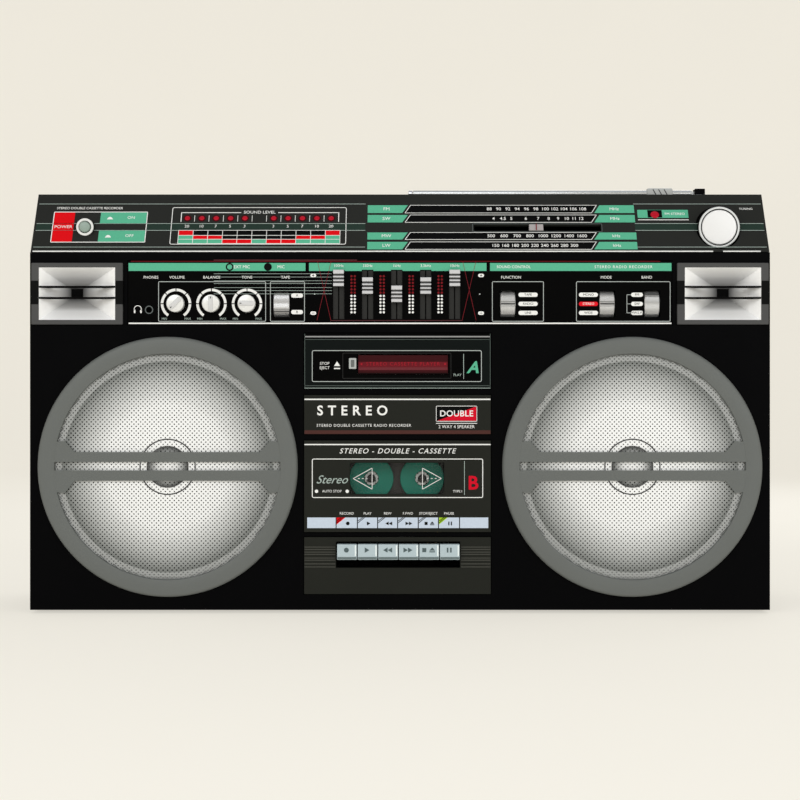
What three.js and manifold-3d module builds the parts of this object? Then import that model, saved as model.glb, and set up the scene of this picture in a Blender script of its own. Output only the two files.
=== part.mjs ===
// Twin-cassette stereo radio in millimetres, +Z up, front facing -Y.
// Inside the `body` group the front face is y = 0, y grows towards the back,
// and z = 0 is the underside of the cabinet; the group puts the feet on z = 0.
import * as THREE from 'three';
import { mergeVertices } from 'three/addons/utils/BufferGeometryUtils.js';
import Module from 'manifold-3d';

const wasm = await Module();
wasm.setup();

// ---------------------------------------------------------------- driving dimensions

const WIDTH = 560;
const DEPTH = 150;
const HEIGHT = 318;
const WALL = 3;
const GAP = 0.3; // clearance between neighbouring pieces
const SPLIT_Y = 70; // seam between the front and rear cabinets
const FOOT_HEIGHT = 2.5;
const KNOB_PROUD = 8; // how far the furthest knob stands in front of the face
const SIDE = WIDTH / 2;

// Slanted dial panel above the vertical front
const SLOPE_BASE_Z = 271;
const SLOPE_SETBACK = 30;
const SLOPE_RISE = HEIGHT - SLOPE_BASE_Z;
const SLOPE_ANGLE = Math.atan2(SLOPE_SETBACK, SLOPE_RISE);
const DIAL_PLATE = 3;

const POWER = { x: -239.9, z: 290.6, button: 4.6, bore: 4.9, bezel: 6.8 };
const TUNING = { x: 242.8, z: 290.3, knob: 15.9, well: 17, wall: 19, floor: 28 };
const POINTER = { x: 104, slope: 23.1, width: 10.8, height: 5.7 };
const POINTER_SLOT = { x0: 56.5, x1: 153.6, height: 6.5 };
const DIAL_DRUM = { x: 190, y: 44, z: 291, radius: 20, width: 6 };

// Control panel
const CONTROL = { x0: -205.7, x1: 205.7, z0: 216.1, z1: 264.1, front: -0.6, back: WALL };
const ROTARY = { z: 231.7, radius: 6.7, shaft: 3, names: ['volume', 'balance', 'tone'] };
const ROTARY_X = [-169.4, -142.6, -115.7];
const POINTER_TURN = [-0.75 * Math.PI, 0, -0.5 * Math.PI];
const SLIDER_X = [-46.4, -24.5, -2.5, 19.4, 41.3];
const SLIDER_Z = [251, 245.2, 239, 245.2, 251];
const SLIDER = { low: 226, high: 251, width: 8, height: 12.5, track: 8.6, stem: 1, slot: 1.7 };
const DRUM_RADIUS = 11;
const DRUM_Y = 9.2;
const DRUMS = [
  { name: 'tape_mode_drum', x0: -96.1, x1: -83.2, z0: 221.7, z1: 240.5, index: -30 },
  { name: 'function_drum', x0: 75.5, x1: 87.7, z0: 221.7, z1: 241.6, index: 0 },
  { name: 'stereo_drum', x0: 150.5, x1: 162.7, z0: 221.7, z1: 241.6, index: 0 },
  { name: 'band_drum', x0: 184.5, x1: 196.7, z0: 221.7, z1: 241.6, index: 38 },
];
const JACKS = [
  { x: -189.8, z: 227.1 },
  { x: -128.8, z: 259.5 },
  { x: -99.9, z: 259.5 },
];

// Cassette column in the middle of the front
const COLUMN = { x0: -72.5, x1: 68.7 };
const DECK_A = { z0: 167.4, z1: 209.4 };
const BADGE = { z0: 133, z1: 162.7 };
const DECK_B = { z0: 59, z1: 128.3 };
const KEY_PANEL = { z0: 12.1, z1: 55.2 };
const PANEL_PROUD = 1;
const FLAP = { x0: -31.7, x1: 36.3, z0: 178.6, z1: 192.9, thick: 2, axisZ: 192 };
const EJECT = { x0: -38.6, x1: -33, z0: 182.4, z1: 190.6 };
const WINDOW = { x0: -37.8, x1: 33.3, z0: 87.7, z1: 111.4 };
const DOOR = { front: -1.5, back: 4.5, pivotZ: 63 };
const HUB_X = [-21.9, 17];
const HUB_Z = 98.8;
const CASSETTE_HALF = 50.6;
const CASSETTE_X = -2.45;
const CHASSIS_B_Y = 22;
const CAPSTAN = { x: 15, z: 68.8 };
const FLYWHEEL_RADIUS = 22;
const MOTOR = { x: -46, z: 84, radius: 15, pulley: 4.7 };
const BELT = { y0: 51.5, y1: 54.5, thick: 1.2 };
const KEY_WELL = { x0: -48.3, x1: 45.4, z0: 32, z1: 51.8 };
const KEY = { x: -1.25, pitch: 15.5, width: 14.8, pivotY: 34, pivotZ: 44 };
const KEY_NAMES = ['record', 'play', 'rewind', 'fast_forward', 'stop_eject', 'pause'];

// Speakers
const WOOFER_X = 175.6;
const WOOFER_Z = 108.4;
const RING = { outer: 98.3, inner: 85.2, proud: 4.5, sides: 40 };
const BARS = [[3.8, 11.2], [-10.4, -2.6]];
const GUSSET = { foot: 70, ring: 77.2, z: 19.6 };
const HORN_X = 244.05;
const HORN = {
  z: 239.25,
  bezel: [69.1, 46.6],
  mouth: [57.5, 39.5],
  throat: [8.7, 10.6],
  depth: 22,
  vaneDepth: 11,
  skin: 1.5,
  vaneZ: [244.45, 236.05],
};

// Top, sides and back
const HANDLE = { y: 134, z: 290, reach: 94, arm: 8, grip: 14, half: 278 };
const NOTCH = { x: 268, y: 118, z0: 166, z1: 208 };
const BAY = { half: 128, y: 108, z0: 18, z1: 92, skin: 2.5 };
const INLET = { x: 212, z: 30, half: 11.7, tall: 7.7, y: 138 };
const VENTS = { x0: 184, x1: 240, z0: 64, tall: 2.4, pitch: 6, count: 7 };
const ANTENNA = { x: 236.4, y: 60, z: 322, radius: 2.5, length: 226, rod: 1.4 };
const SCREWS = [[-268, 6.4], [268, 6.4], [-255, 311.7], [255, 311.7]];

// ---------------------------------------------------------------- geometry helpers

const AXIS_Y = new THREE.Vector3(0, 1, 0);
const AXIS_Z = new THREE.Vector3(0, 0, 1);
const AXIS_X = new THREE.Vector3(1, 0, 0);

// A closed solid that can be joined and cut
function solid(geometry) {
  const plain = geometry.index ? geometry.clone() : mergeVertices(geometry);
  plain.deleteAttribute('normal');
  plain.deleteAttribute('uv');
  const merged = mergeVertices(plain, 1e-4);
  return new wasm.Manifold(new wasm.Mesh({
    numProp: 3,
    vertProperties: new Float32Array(merged.attributes.position.array),
    triVerts: new Uint32Array(merged.index.array),
  }));
}

function geometryOf(manifold) {
  const mesh = manifold.getMesh();
  const geometry = new THREE.BufferGeometry();
  geometry.setAttribute('position', new THREE.BufferAttribute(new Float32Array(mesh.vertProperties), 3));
  geometry.setIndex(new THREE.BufferAttribute(new Uint32Array(mesh.triVerts), 1));
  geometry.computeVertexNormals();
  return geometry;
}

function block(x0, x1, y0, y1, z0, z1) {
  const geometry = new THREE.BoxGeometry(x1 - x0, y1 - y0, z1 - z0);
  geometry.translate((x0 + x1) / 2, (y0 + y1) / 2, (z0 + z1) / 2);
  return solid(geometry);
}

// Rods along each axis; (a, b) is the centre in the other two coordinates
function rodY(radius, y0, y1, x = 0, z = 0, sides = 24) {
  const geometry = new THREE.CylinderGeometry(radius, radius, y1 - y0, sides);
  geometry.translate(x, (y0 + y1) / 2, z);
  return solid(geometry);
}

function rodX(radius, x0, x1, y = 0, z = 0, sides = 20) {
  const geometry = new THREE.CylinderGeometry(radius, radius, x1 - x0, sides);
  geometry.rotateZ(Math.PI / 2);
  geometry.translate((x0 + x1) / 2, y, z);
  return solid(geometry);
}

function rodZ(radius, z0, z1, x = 0, y = 0, sides = 24) {
  const geometry = new THREE.CylinderGeometry(radius, radius, z1 - z0, sides);
  geometry.rotateX(Math.PI / 2);
  geometry.translate(x, y, (z0 + z1) / 2);
  return solid(geometry);
}

// A (y, z) outline drawn out along X
function drawnX(outline, x0, x1) {
  const shape = new THREE.Shape(outline.map(([y, z]) => new THREE.Vector2(y, z)));
  const geometry = new THREE.ExtrudeGeometry(shape, { depth: x1 - x0, bevelEnabled: false });
  geometry.applyMatrix4(new THREE.Matrix4().makeBasis(AXIS_Y, AXIS_Z, AXIS_X));
  geometry.translate(x0, 0, 0);
  return solid(geometry);
}

// An (x, z) shape drawn out along Y
function drawnY(shape, y0, y1, curveSegments = 14) {
  const geometry = new THREE.ExtrudeGeometry(shape, { depth: y1 - y0, bevelEnabled: false, curveSegments });
  geometry.applyMatrix4(new THREE.Matrix4().makeBasis(AXIS_X, AXIS_Z, new THREE.Vector3(0, -1, 0)));
  geometry.translate(0, y1, 0);
  return solid(geometry);
}

// A profile of [radius, y] turned about the Y axis
function turned(profile, sides = 24) {
  return solid(new THREE.LatheGeometry(profile.map(([r, y]) => new THREE.Vector2(r, y)), sides));
}

// A box whose front and back rectangles differ, both centred on (0, 0) in x and z
function frustum([frontWide, frontTall], y0, [backWide, backTall], y1) {
  const geometry = new THREE.BoxGeometry(1, 1, 1);
  const point = geometry.attributes.position;
  for (let i = 0; i < point.count; i += 1) {
    const back = point.getY(i) > 0;
    const wide = back ? backWide : frontWide;
    const tall = back ? backTall : frontTall;
    point.setXYZ(i, point.getX(i) * wide, back ? y1 : y0, point.getZ(i) * tall);
  }
  return solid(geometry);
}

function join(first, ...others) {
  return others.reduce((whole, next) => whole.add(next), first);
}

function cut(first, ...others) {
  return others.reduce((whole, next) => whole.subtract(next), first);
}

// y of the slanted face at height z, pushed inwards by `inset` square to the face
function slopeY(z, inset = 0) {
  return (z - SLOPE_BASE_Z) * Math.tan(SLOPE_ANGLE) + inset / Math.cos(SLOPE_ANGLE);
}

function grown(rect, by = GAP) {
  return [rect.x0 - by, rect.x1 + by, rect.z0 - by, rect.z1 + by];
}

function panel(rect, y0, y1) {
  return block(rect.x0, rect.x1, y0, y1, rect.z0, rect.z1);
}

function opening(rect, y0 = -5, y1 = WALL + 5) {
  const [x0, x1, z0, z1] = grown(rect);
  return block(x0, x1, y0, y1, z0, z1);
}

const column = (range) => ({ ...COLUMN, ...range });

// ---------------------------------------------------------------- materials

const finish = (color, roughness, metalness = 0) =>
  new THREE.MeshStandardMaterial({ color, roughness, metalness });

const blackPlastic = finish(0x161616, 0.45);
const darkPlastic = finish(0x353533, 0.5);
const greyPlastic = finish(0x6e706e, 0.5);
const paleKey = finish(0xc8d7d7, 0.4);
const silver = finish(0xd8d8d6, 0.3, 0.8);
const steel = finish(0x9a9c9e, 0.35, 0.9);
const redPlastic = finish(0xa8303a, 0.4);
const teal = finish(0x286e64, 0.5);
const paper = finish(0x2c2c2e, 0.9);
const rubber = finish(0x1c1c1c, 0.9);
const clear = finish(0x9fb4b0, 0.1);
const board = finish(0x2f6b3c, 0.6);

// ---------------------------------------------------------------- the graph

const part = new THREE.Group();
const body = new THREE.Group();
body.position.set(0, KNOB_PROUD - (DEPTH + KNOB_PROUD) / 2, FOOT_HEIGHT);
part.add(body);

function place(name, shape, material, x = 0, y = 0, z = 0, parent = body) {
  const mesh = new THREE.Mesh(geometryOf(shape), material);
  mesh.name = name;
  mesh.position.set(x, y, z);
  parent.add(mesh);
  return mesh;
}

// ---------------------------------------------------------------- cabinet

function frontCabinet() {
  const dialBack = DIAL_PLATE + GAP;
  const top = SLOPE_BASE_Z - GAP;
  const outer = drawnX([
    [0, 0], [0, top], [slopeY(top, dialBack), top], [slopeY(HEIGHT, dialBack), HEIGHT],
    [SPLIT_Y - GAP / 2, HEIGHT], [SPLIT_Y - GAP / 2, 0],
  ], -SIDE, SIDE);
  const inside = dialBack + WALL;
  const ledge = top - WALL;
  const roof = HEIGHT - WALL;
  const cavity = drawnX([
    [WALL, WALL], [WALL, ledge], [slopeY(ledge, inside), ledge], [slopeY(roof, inside), roof],
    [SPLIT_Y + 5, roof], [SPLIT_Y + 5, WALL],
  ], -SIDE + WALL, SIDE - WALL);
  let shell = cut(
    outer,
    cavity,
    opening(CONTROL),
    opening(column(DECK_A)),
    opening(column(BADGE)),
    opening(column(DECK_B)),
    opening(column(KEY_PANEL)),
    block(-262, 262, -1, 60, 277, 311), // the dial plate's fittings pass here
    block(222, 263.5, -1, 60, 271, 300), // room for the tuning well
    rodZ(3.2, 310, 320, ANTENNA.x, ANTENNA.y),
  );
  for (const side of [-1, 1]) {
    const outerMouth = [HORN.mouth[0] + 2 * HORN.skin + 1, HORN.mouth[1] + 2 * HORN.skin + 1];
    const hornHole = frustum(outerMouth, -5, outerMouth, 10).translate([side * HORN_X, 0, HORN.z]);
    shell = cut(shell, rodY(84, -5, 10, side * WOOFER_X, WOOFER_Z, 40), hornHole);
  }
  for (const [x, z] of SCREWS) {
    shell = join(shell, rodY(4, 45, SPLIT_Y - GAP / 2, x, z, 16));
    shell = cut(shell, rodY(1.3, 55, SPLIT_Y + 5, x, z, 12));
  }
  return shell;
}

// The recess for the folded handle, grown by `by` on every inner side
function handleRecess(by) {
  const beyond = SIDE + 1;
  const back = DEPTH + 1;
  const arm = (side) => {
    const near = side * (NOTCH.x - by);
    const far = side * beyond;
    return block(Math.min(near, far), Math.max(near, far), NOTCH.y - by, back, NOTCH.z0 - by, HEIGHT + 1);
  };
  const well = block(-beyond, beyond, NOTCH.y - by, back, NOTCH.z0 - by, NOTCH.z1 + by);
  return join(well, arm(-1), arm(1));
}

function batteryBay(by) {
  return block(-BAY.half - by, BAY.half + by, BAY.y - by, DEPTH + 1, BAY.z0 - by, BAY.z1 + by);
}

function rearCabinet() {
  const outer = block(-SIDE, SIDE, SPLIT_Y + GAP / 2, DEPTH, 0, HEIGHT);
  const hollow = block(-SIDE + WALL, SIDE - WALL, SPLIT_Y - 5, DEPTH - WALL, WALL, HEIGHT - WALL);
  const cavity = cut(hollow, handleRecess(WALL), batteryBay(BAY.skin));
  const inletHole = block(
    INLET.x - INLET.half - GAP, INLET.x + INLET.half + GAP,
    DEPTH - 10, DEPTH + 1,
    INLET.z - INLET.tall - GAP, INLET.z + INLET.tall + GAP,
  );
  let shell = cut(outer, cavity, handleRecess(0), batteryBay(0), inletHole);
  shell = cut(shell, rodX(4.3, -NOTCH.x - 1, NOTCH.x + 1, HANDLE.y, HANDLE.z));
  for (let i = 0; i < VENTS.count; i += 1) {
    const z = VENTS.z0 + i * VENTS.pitch;
    shell = cut(shell, block(VENTS.x0, VENTS.x1, DEPTH - WALL - 1, DEPTH + 1, z, z + VENTS.tall));
  }
  for (const [x, z] of SCREWS) {
    shell = join(shell, rodY(4, SPLIT_Y + GAP / 2, DEPTH - 1, x, z, 16));
    shell = cut(shell, rodY(1.6, SPLIT_Y - 5, DEPTH + 5, x, z, 12), rodY(3, DEPTH - 12, DEPTH + 5, x, z, 12));
  }
  return shell;
}

// ---------------------------------------------------------------- dial panel

function dialPanel() {
  const edge = SIDE - GAP;
  const plate = drawnX([
    [0, SLOPE_BASE_Z], [slopeY(HEIGHT), HEIGHT],
    [slopeY(HEIGHT, DIAL_PLATE), HEIGHT], [slopeY(SLOPE_BASE_Z, DIAL_PLATE), SLOPE_BASE_Z],
  ], -edge, edge);
  const behindFace = drawnX([
    [0, SLOPE_BASE_Z], [slopeY(HEIGHT), HEIGHT], [60, HEIGHT], [60, SLOPE_BASE_Z],
  ], -edge, edge);
  const well = rodY(TUNING.wall, -5, TUNING.floor + 2, TUNING.x, TUNING.z, 32).intersect(behindFace);
  const bezel = rodY(POWER.bezel, 8, 22, POWER.x, POWER.z);
  const slot = new THREE.BoxGeometry(POINTER_SLOT.x1 - POINTER_SLOT.x0, 20, POINTER_SLOT.height);
  slot.translate((POINTER_SLOT.x0 + POINTER_SLOT.x1) / 2, 0, POINTER.slope);
  slot.rotateX(-SLOPE_ANGLE);
  slot.translate(0, 0, SLOPE_BASE_Z);
  return cut(
    join(plate, well, bezel),
    rodY(TUNING.well, -10, TUNING.floor, TUNING.x, TUNING.z, 32),
    rodY(3.4, 0, 60, TUNING.x, TUNING.z, 16),
    rodY(POWER.bore, -10, 60, POWER.x, POWER.z),
    solid(slot),
  );
}

function tuningKnob() {
  return turned([
    [0, 7], [13.4, 6.6], [13.85, 6], [15.3, 6], [TUNING.knob, 6.6], [TUNING.knob, 27.5],
    [3, 27.5], [3, 40], [0, 40],
  ], 32);
}

function powerButton() {
  return turned([[0, 6], [4.2, 6], [POWER.button, 6.4], [POWER.button, 25], [0, 25]]);
}

// Pointer in the slanted frame: y = 0 on the face, z up the slope
function tuningPointer() {
  const half = POINTER.width / 2;
  return join(
    block(-half, half, -0.8, 3.6, -POINTER.height / 2, POINTER.height / 2),
    block(-half, half, DIAL_PLATE + GAP, 5, -5, 5),
  );
}

function dialDrum() {
  const r = DIAL_DRUM.radius;
  const w = DIAL_DRUM.width;
  return turned([[0, 0], [r, 0], [r, 1.5], [r - 1.5, 2.2], [r - 1.5, w - 2.2], [r, w - 1.5], [r, w], [5, w],
    [5, w + 4], [0, w + 4]], 28);
}

// ---------------------------------------------------------------- control panel

function controlPanel() {
  let plate = panel(CONTROL, CONTROL.front, CONTROL.back);
  for (const x of ROTARY_X) {
    plate = cut(plate, rodY(ROTARY.shaft + 0.4, -5, 8, x, ROTARY.z, 20));
  }
  for (const x of SLIDER_X) {
    const track = block(x - SLIDER.track / 2, x + SLIDER.track / 2, -5, 0.6, 219.7, 257.3);
    const slot = block(x - SLIDER.slot / 2, x + SLIDER.slot / 2, -5, 8, SLIDER.low - 4, SLIDER.high + 4);
    plate = cut(plate, track, slot);
  }
  for (const drum of DRUMS) {
    plate = cut(plate, panel(drum, -5, 8));
  }
  for (const jack of JACKS) {
    plate = cut(plate, rodY(1.8, -5, 8, jack.x, jack.z, 16));
  }
  return plate;
}

function rotaryKnob(turn) {
  const r = ROTARY.radius;
  const cap = turned([[0, -KNOB_PROUD + 0.8], [r - 1.1, -KNOB_PROUD + 0.8], [r - 0.5, -6.6], [r, -1],
    [ROTARY.shaft, -1], [ROTARY.shaft, 18], [0, 18]]);
  const bar = new THREE.BoxGeometry(1.6, 1.6, r - 1.4);
  bar.translate(0, -KNOB_PROUD + 0.8, (r - 1.4) / 2);
  bar.rotateY(turn);
  return join(cap, solid(bar));
}

function sliderKnob() {
  const half = SLIDER.width / 2;
  const tall = SLIDER.height / 2;
  return join(
    drawnX([
      [0.2, -tall], [-4.6, -tall + 0.8], [-5.2, -1], [-4.4, 0], [-5.2, 1], [-4.6, tall - 0.8], [0.2, tall],
    ], -half, half),
    block(-SLIDER.stem / 2, SLIDER.stem / 2, 0, 9, -3, 3),
    block(-3.4, 3.4, CONTROL.back + 0.4, 5.4, -4, 4),
  );
}

function selectorDrum(drum) {
  const half = (drum.x1 - drum.x0) / 2 - 0.4;
  const angle = THREE.MathUtils.degToRad(drum.index);
  const rib = new THREE.BoxGeometry(2 * half, 2, 1.2);
  rib.translate(0, -DRUM_RADIUS + 0.5, 0);
  rib.rotateX(-angle);
  return join(rodX(DRUM_RADIUS, -half, half, 0, 0, 24), rodX(1.5, -half - 3, half + 3, 0, 0, 12), solid(rib));
}

function mainBoard() {
  let whole = block(-198, 198, 27, 28.6, 214, 267);
  for (const x of ROTARY_X) {
    whole = join(whole, block(x - 7, x + 7, 18.5, 28, ROTARY.z - 7, ROTARY.z + 7));
  }
  for (const x of SLIDER_X) {
    whole = join(whole, block(x - 5, x + 5, 10, 28, 219, 258));
  }
  return join(
    whole,
    block(110, 170, 28, 48, 226, 258),
    rodY(8, 28, 54, -60, 240, 20),
    rodY(8, 28, 54, -80, 240, 20),
    block(-180, -130, 28, 40, 222, 250),
  );
}

// ---------------------------------------------------------------- cassette column

function deckAFascia() {
  const slot = { ...FLAP, z1: FLAP.z1 + 0.4 };
  return cut(panel(column(DECK_A), -PANEL_PROUD, WALL), opening(slot), opening(EJECT));
}

// The flap hangs from its top edge; its origin is the hinge line
function deckAFlap() {
  const y0 = -FLAP.thick / 2;
  return block(FLAP.x0, FLAP.x1, y0, -y0, FLAP.z0 - FLAP.axisZ, FLAP.z1 - FLAP.axisZ);
}

function tapeChassisA() {
  const tray = block(-37, 41.6, 18, 110, 171, 199);
  return cut(tray, block(-34.5, 39.1, 10, 107.5, 173, 205));
}

function deckBDoor() {
  const left = CASSETTE_X - CASSETTE_HALF;
  const right = CASSETTE_X + CASSETTE_HALF;
  const floor = HUB_Z - 34.8;
  return cut(
    join(
      panel(column(DECK_B), DOOR.front, DOOR.back),
      block(left - 2.5, left - 0.4, 4, 17, floor - 2, 120),
      block(right + 0.4, right + 2.5, 4, 17, floor - 2, 120),
      block(left - 2.5, left + 12, 4, 17, floor - 2, floor - 0.3),
      block(right - 12, right + 2.5, 4, 17, floor - 2, floor - 0.3),
    ),
    panel(WINDOW, -5, 8),
  );
}

function deckBWindow() {
  return block(WINDOW.x0 + GAP, WINDOW.x1 - GAP, 0, 2, WINDOW.z0 + GAP, WINDOW.z1 - GAP);
}

function tapeChassisB() {
  const plate = join(
    block(-66, 62, CHASSIS_B_Y, CHASSIS_B_Y + 2, 60, 126),
    block(-66, -64, 9, CHASSIS_B_Y + 1, 60, 126),
    block(60, 62, 9, CHASSIS_B_Y + 1, 60, 126),
  );
  return cut(
    plate,
    ...HUB_X.map((x) => rodY(3.4, 15, 30, x, HUB_Z, 20)),
    rodY(1.6, 15, 30, CAPSTAN.x, CAPSTAN.z, 12),
  );
}

// Splined hub in front of its reel table, on a shaft through the chassis
function spindle() {
  const hub = turned([[0, 12.6], [2, 12.6], [2.8, 14], [2.8, 17], [5.45, 17], [5.45, 18.2], [16.9, 18.2],
    [16.9, 20.8], [2.6, 20.8], [2.6, 34], [0, 34]], 24);
  const tooth = new THREE.BoxGeometry(1, 3.4, 1.9);
  tooth.translate(0, 15.4, 3.2);
  const teeth = [0, 1, 2].map((i) => solid(tooth.clone().rotateY((i * 2 * Math.PI) / 3)));
  return join(hub, ...teeth);
}

function flywheel() {
  const r = FLYWHEEL_RADIUS;
  return turned([[0, 11.5], [1, 11.5], [1, 48], [4, 48], [4, 50], [r, 50], [r, 56], [0, 56]], 28);
}

function motorPulley() {
  const r = MOTOR.pulley;
  return turned([
    [0, 48.4], [1, 48.4], [1, 50], [r + 0.8, 50], [r, 51.2], [r, 54.8], [r + 0.8, 56], [0, 56],
  ], 24);
}

function beltShape(slack) {
  const wheel = new THREE.Vector2(CAPSTAN.x, CAPSTAN.z);
  const motor = new THREE.Vector2(MOTOR.x, MOTOR.z);
  const along = motor.clone().sub(wheel);
  const big = FLYWHEEL_RADIUS + slack;
  const small = MOTOR.pulley + slack;
  const lean = Math.acos((big - small) / along.length());
  const heading = along.angle();
  const shape = new THREE.Shape();
  shape.absarc(wheel.x, wheel.y, big, heading + lean, heading - lean + 2 * Math.PI, false);
  shape.absarc(motor.x, motor.y, small, heading - lean, heading + lean, false);
  return shape;
}

function driveBelt() {
  return cut(
    drawnY(beltShape(GAP + BELT.thick), BELT.y0, BELT.y1),
    drawnY(beltShape(GAP), BELT.y0 - 1, BELT.y1 + 1),
  );
}

function headBridge() {
  return join(block(-22, 11, 10, 18, 52, 56), block(-10, 4, 10.5, 17.5, 55, 62));
}

function keyPanel() {
  return cut(panel(column(KEY_PANEL), -PANEL_PROUD, WALL), panel(KEY_WELL, -5, 8));
}

// A key in its own frame, with the origin on the pivot line
function key() {
  const outline = [
    [-6, 40], [-5.2, 50.1], [10, 50.1], [10, 46.4], [36, 46.4], [36, 42], [8, 42], [4, 38.4], [-5, 38.4],
  ];
  const shifted = outline.map(([y, z]) => [y - KEY.pivotY, z - KEY.pivotZ]);
  return drawnX(shifted, -KEY.width / 2, KEY.width / 2);
}

// ---------------------------------------------------------------- speakers

function speakerGrille() {
  const ring = turned([
    [RING.inner, -0.3], [RING.inner, -RING.proud + 1], [RING.inner + 1, -RING.proud],
    [RING.outer - 3, -RING.proud], [RING.outer, -2], [RING.outer, -0.3], [RING.inner, -0.3],
  ], RING.sides);
  const inside = rodY(RING.inner + 1, -10, 0, 0, 0, RING.sides);
  const bars = BARS.map(([z0, z1]) => {
    const reach = RING.inner + 2;
    const [near, far, tip] = z0 > 0 ? [z0, z1, GUSSET.z] : [z1, z0, -GUSSET.z];
    const outline = new THREE.Shape([
      [-reach, near], [reach, near], [reach, tip], [GUSSET.ring, tip], [GUSSET.foot, far],
      [-GUSSET.foot, far], [-GUSSET.ring, tip], [-reach, tip],
    ].map(([x, z]) => new THREE.Vector2(x, z)));
    return drawnY(outline, -4, -0.8).intersect(inside);
  });
  return join(ring, rodY(RING.inner + 1, -1.8, -0.6, 0, 0, RING.sides), ...bars);
}

function wooferFrame() {
  return turned([
    [0, 44], [45, 44], [82, 14], [82, 3.4], [90, 3.4], [90, 5.4], [84.5, 5.4], [84.5, 15],
    [47, 46.5], [42, 46.5], [42, 66], [0, 66],
  ], 28);
}

function wooferCone() {
  return turned([
    [0, 26.5], [12, 28], [20, 33], [76, 8], [77, 8], [77, 9.6], [20, 35], [12, 30], [0, 28.5],
  ], 28);
}

function tweeterHorn() {
  const skin = 2 * HORN.skin;
  const outerMouth = [HORN.mouth[0] + skin, HORN.mouth[1] + skin];
  const outerThroat = [HORN.throat[0] + 2 * skin, HORN.throat[1] + 2 * skin];
  const flare = frustum(outerMouth, -1, outerThroat, HORN.depth + 2);
  const bezel = frustum(HORN.bezel, -2.2, HORN.bezel, -0.3);
  const hollow = frustum(HORN.mouth, -3, HORN.throat, HORN.depth);
  const vanes = HORN.vaneZ.map((z) => {
    const blade = block(-HORN.mouth[0] / 2 - 1, HORN.mouth[0] / 2 + 1, 0, HORN.vaneDepth, z - 0.65, z + 0.65);
    return blade.translate([0, 0, -HORN.z]).intersect(flare);
  });
  return join(cut(join(bezel, flare), hollow), rodY(16, HORN.depth + 1, HORN.depth + 20, 0, 0, 28), ...vanes);
}

// ---------------------------------------------------------------- top, back and underside

function carryingHandle() {
  const inner = HANDLE.half - HANDLE.arm;
  const gripZ = -HANDLE.reach;
  const grip = block(-HANDLE.half, HANDLE.half, -8, 8, gripZ - HANDLE.grip / 2, gripZ + HANDLE.grip / 2);
  const arms = [-1, 1].map((side) => {
    const from = Math.min(side * inner, side * HANDLE.half);
    const arm = block(from, from + HANDLE.arm, -8, 8, -HANDLE.reach, 0);
    const pin = side * (inner - 2);
    return join(
      arm,
      rodX(8, from, from + HANDLE.arm, 0, 0),
      rodX(4, pin - 2.5, pin + 2.5, 0, 0, 20),
    );
  });
  return join(grip, ...arms);
}

function antennaPivot() {
  return cut(
    join(
      block(-4, 4, -5, 5, HEIGHT + GAP, HEIGHT + 7.5),
      rodZ(2.9, 312, HEIGHT + 1),
      rodZ(5, 311, 314.6),
    ),
    block(-10, 10, -2.1, 2.1, HEIGHT + 1.2, HEIGHT + 20),
  );
}

// Mast and rod point along -X from the tilt pin at their origin
function antennaMast() {
  const r = ANTENNA.radius;
  return cut(
    join(
      rodX(r, -ANTENNA.length, -5.9, 0, 0, 20),
      rodY(r, -1.6, 1.6, 0, 0, 20),
      block(-7, 0, -1.6, 1.6, -1.6, 1.6),
      block(-41.4, -21.4, -4, 4, -2.5, 4),
    ),
    rodX(ANTENNA.rod + 0.35, -ANTENNA.length - 1, -38, 0, 0, 16),
  );
}

function antennaRod() {
  return join(
    rodX(ANTENNA.rod, -ANTENNA.length - 1, -42, 0, 0, 16),
    rodX(ANTENNA.radius, -ANTENNA.length - 4, -ANTENNA.length - GAP, 0, 0, 20),
  );
}

function batteryDoor() {
  const half = BAY.half - 0.4;
  const plate = block(-half, half, DEPTH - WALL, DEPTH, BAY.z0 + 0.6, BAY.z1 - 0.4);
  return cut(plate, block(-16, 16, DEPTH - 1.4, DEPTH + 1, BAY.z1 - 14, BAY.z1 - 5));
}

function mainsInlet() {
  const shell = block(-INLET.half, INLET.half, INLET.y, DEPTH, -INLET.tall, INLET.tall);
  return cut(shell, block(-8, 8, INLET.y + 2, DEPTH + 1, -4.2, 4.2));
}

function powerTransformer() {
  return join(block(-27, 27, 0, 22, 0, 46), block(-17, 17, -9, 31, 8, 38));
}

// ---------------------------------------------------------------- assembly

place('front_cabinet', frontCabinet(), blackPlastic);
place('rear_cabinet', rearCabinet(), blackPlastic);
place('dial_panel', dialPanel(), darkPlastic);
place('tuning_knob', tuningKnob(), silver, TUNING.x, 0, TUNING.z);
place('power_button', powerButton(), greyPlastic, POWER.x, 0, POWER.z);
place('dial_drum', dialDrum(), greyPlastic, DIAL_DRUM.x, DIAL_DRUM.y, DIAL_DRUM.z);

const slope = new THREE.Group();
slope.position.z = SLOPE_BASE_Z;
slope.rotation.x = -SLOPE_ANGLE;
body.add(slope);
place('tuning_pointer', tuningPointer(), redPlastic, POINTER.x, 0, POINTER.slope, slope);

place('control_panel', controlPanel(), blackPlastic);
place('main_board', mainBoard(), board);
ROTARY.names.forEach((name, i) => {
  place(`${name}_knob`, rotaryKnob(POINTER_TURN[i]), silver, ROTARY_X[i], 0, ROTARY.z);
});
SLIDER_X.forEach((x, i) => {
  place(`eq_slider_${i + 1}`, sliderKnob(), silver, x, 0, SLIDER_Z[i]);
});
for (const drum of DRUMS) {
  place(drum.name, selectorDrum(drum), silver, (drum.x0 + drum.x1) / 2, DRUM_Y, (drum.z0 + drum.z1) / 2);
}

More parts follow.
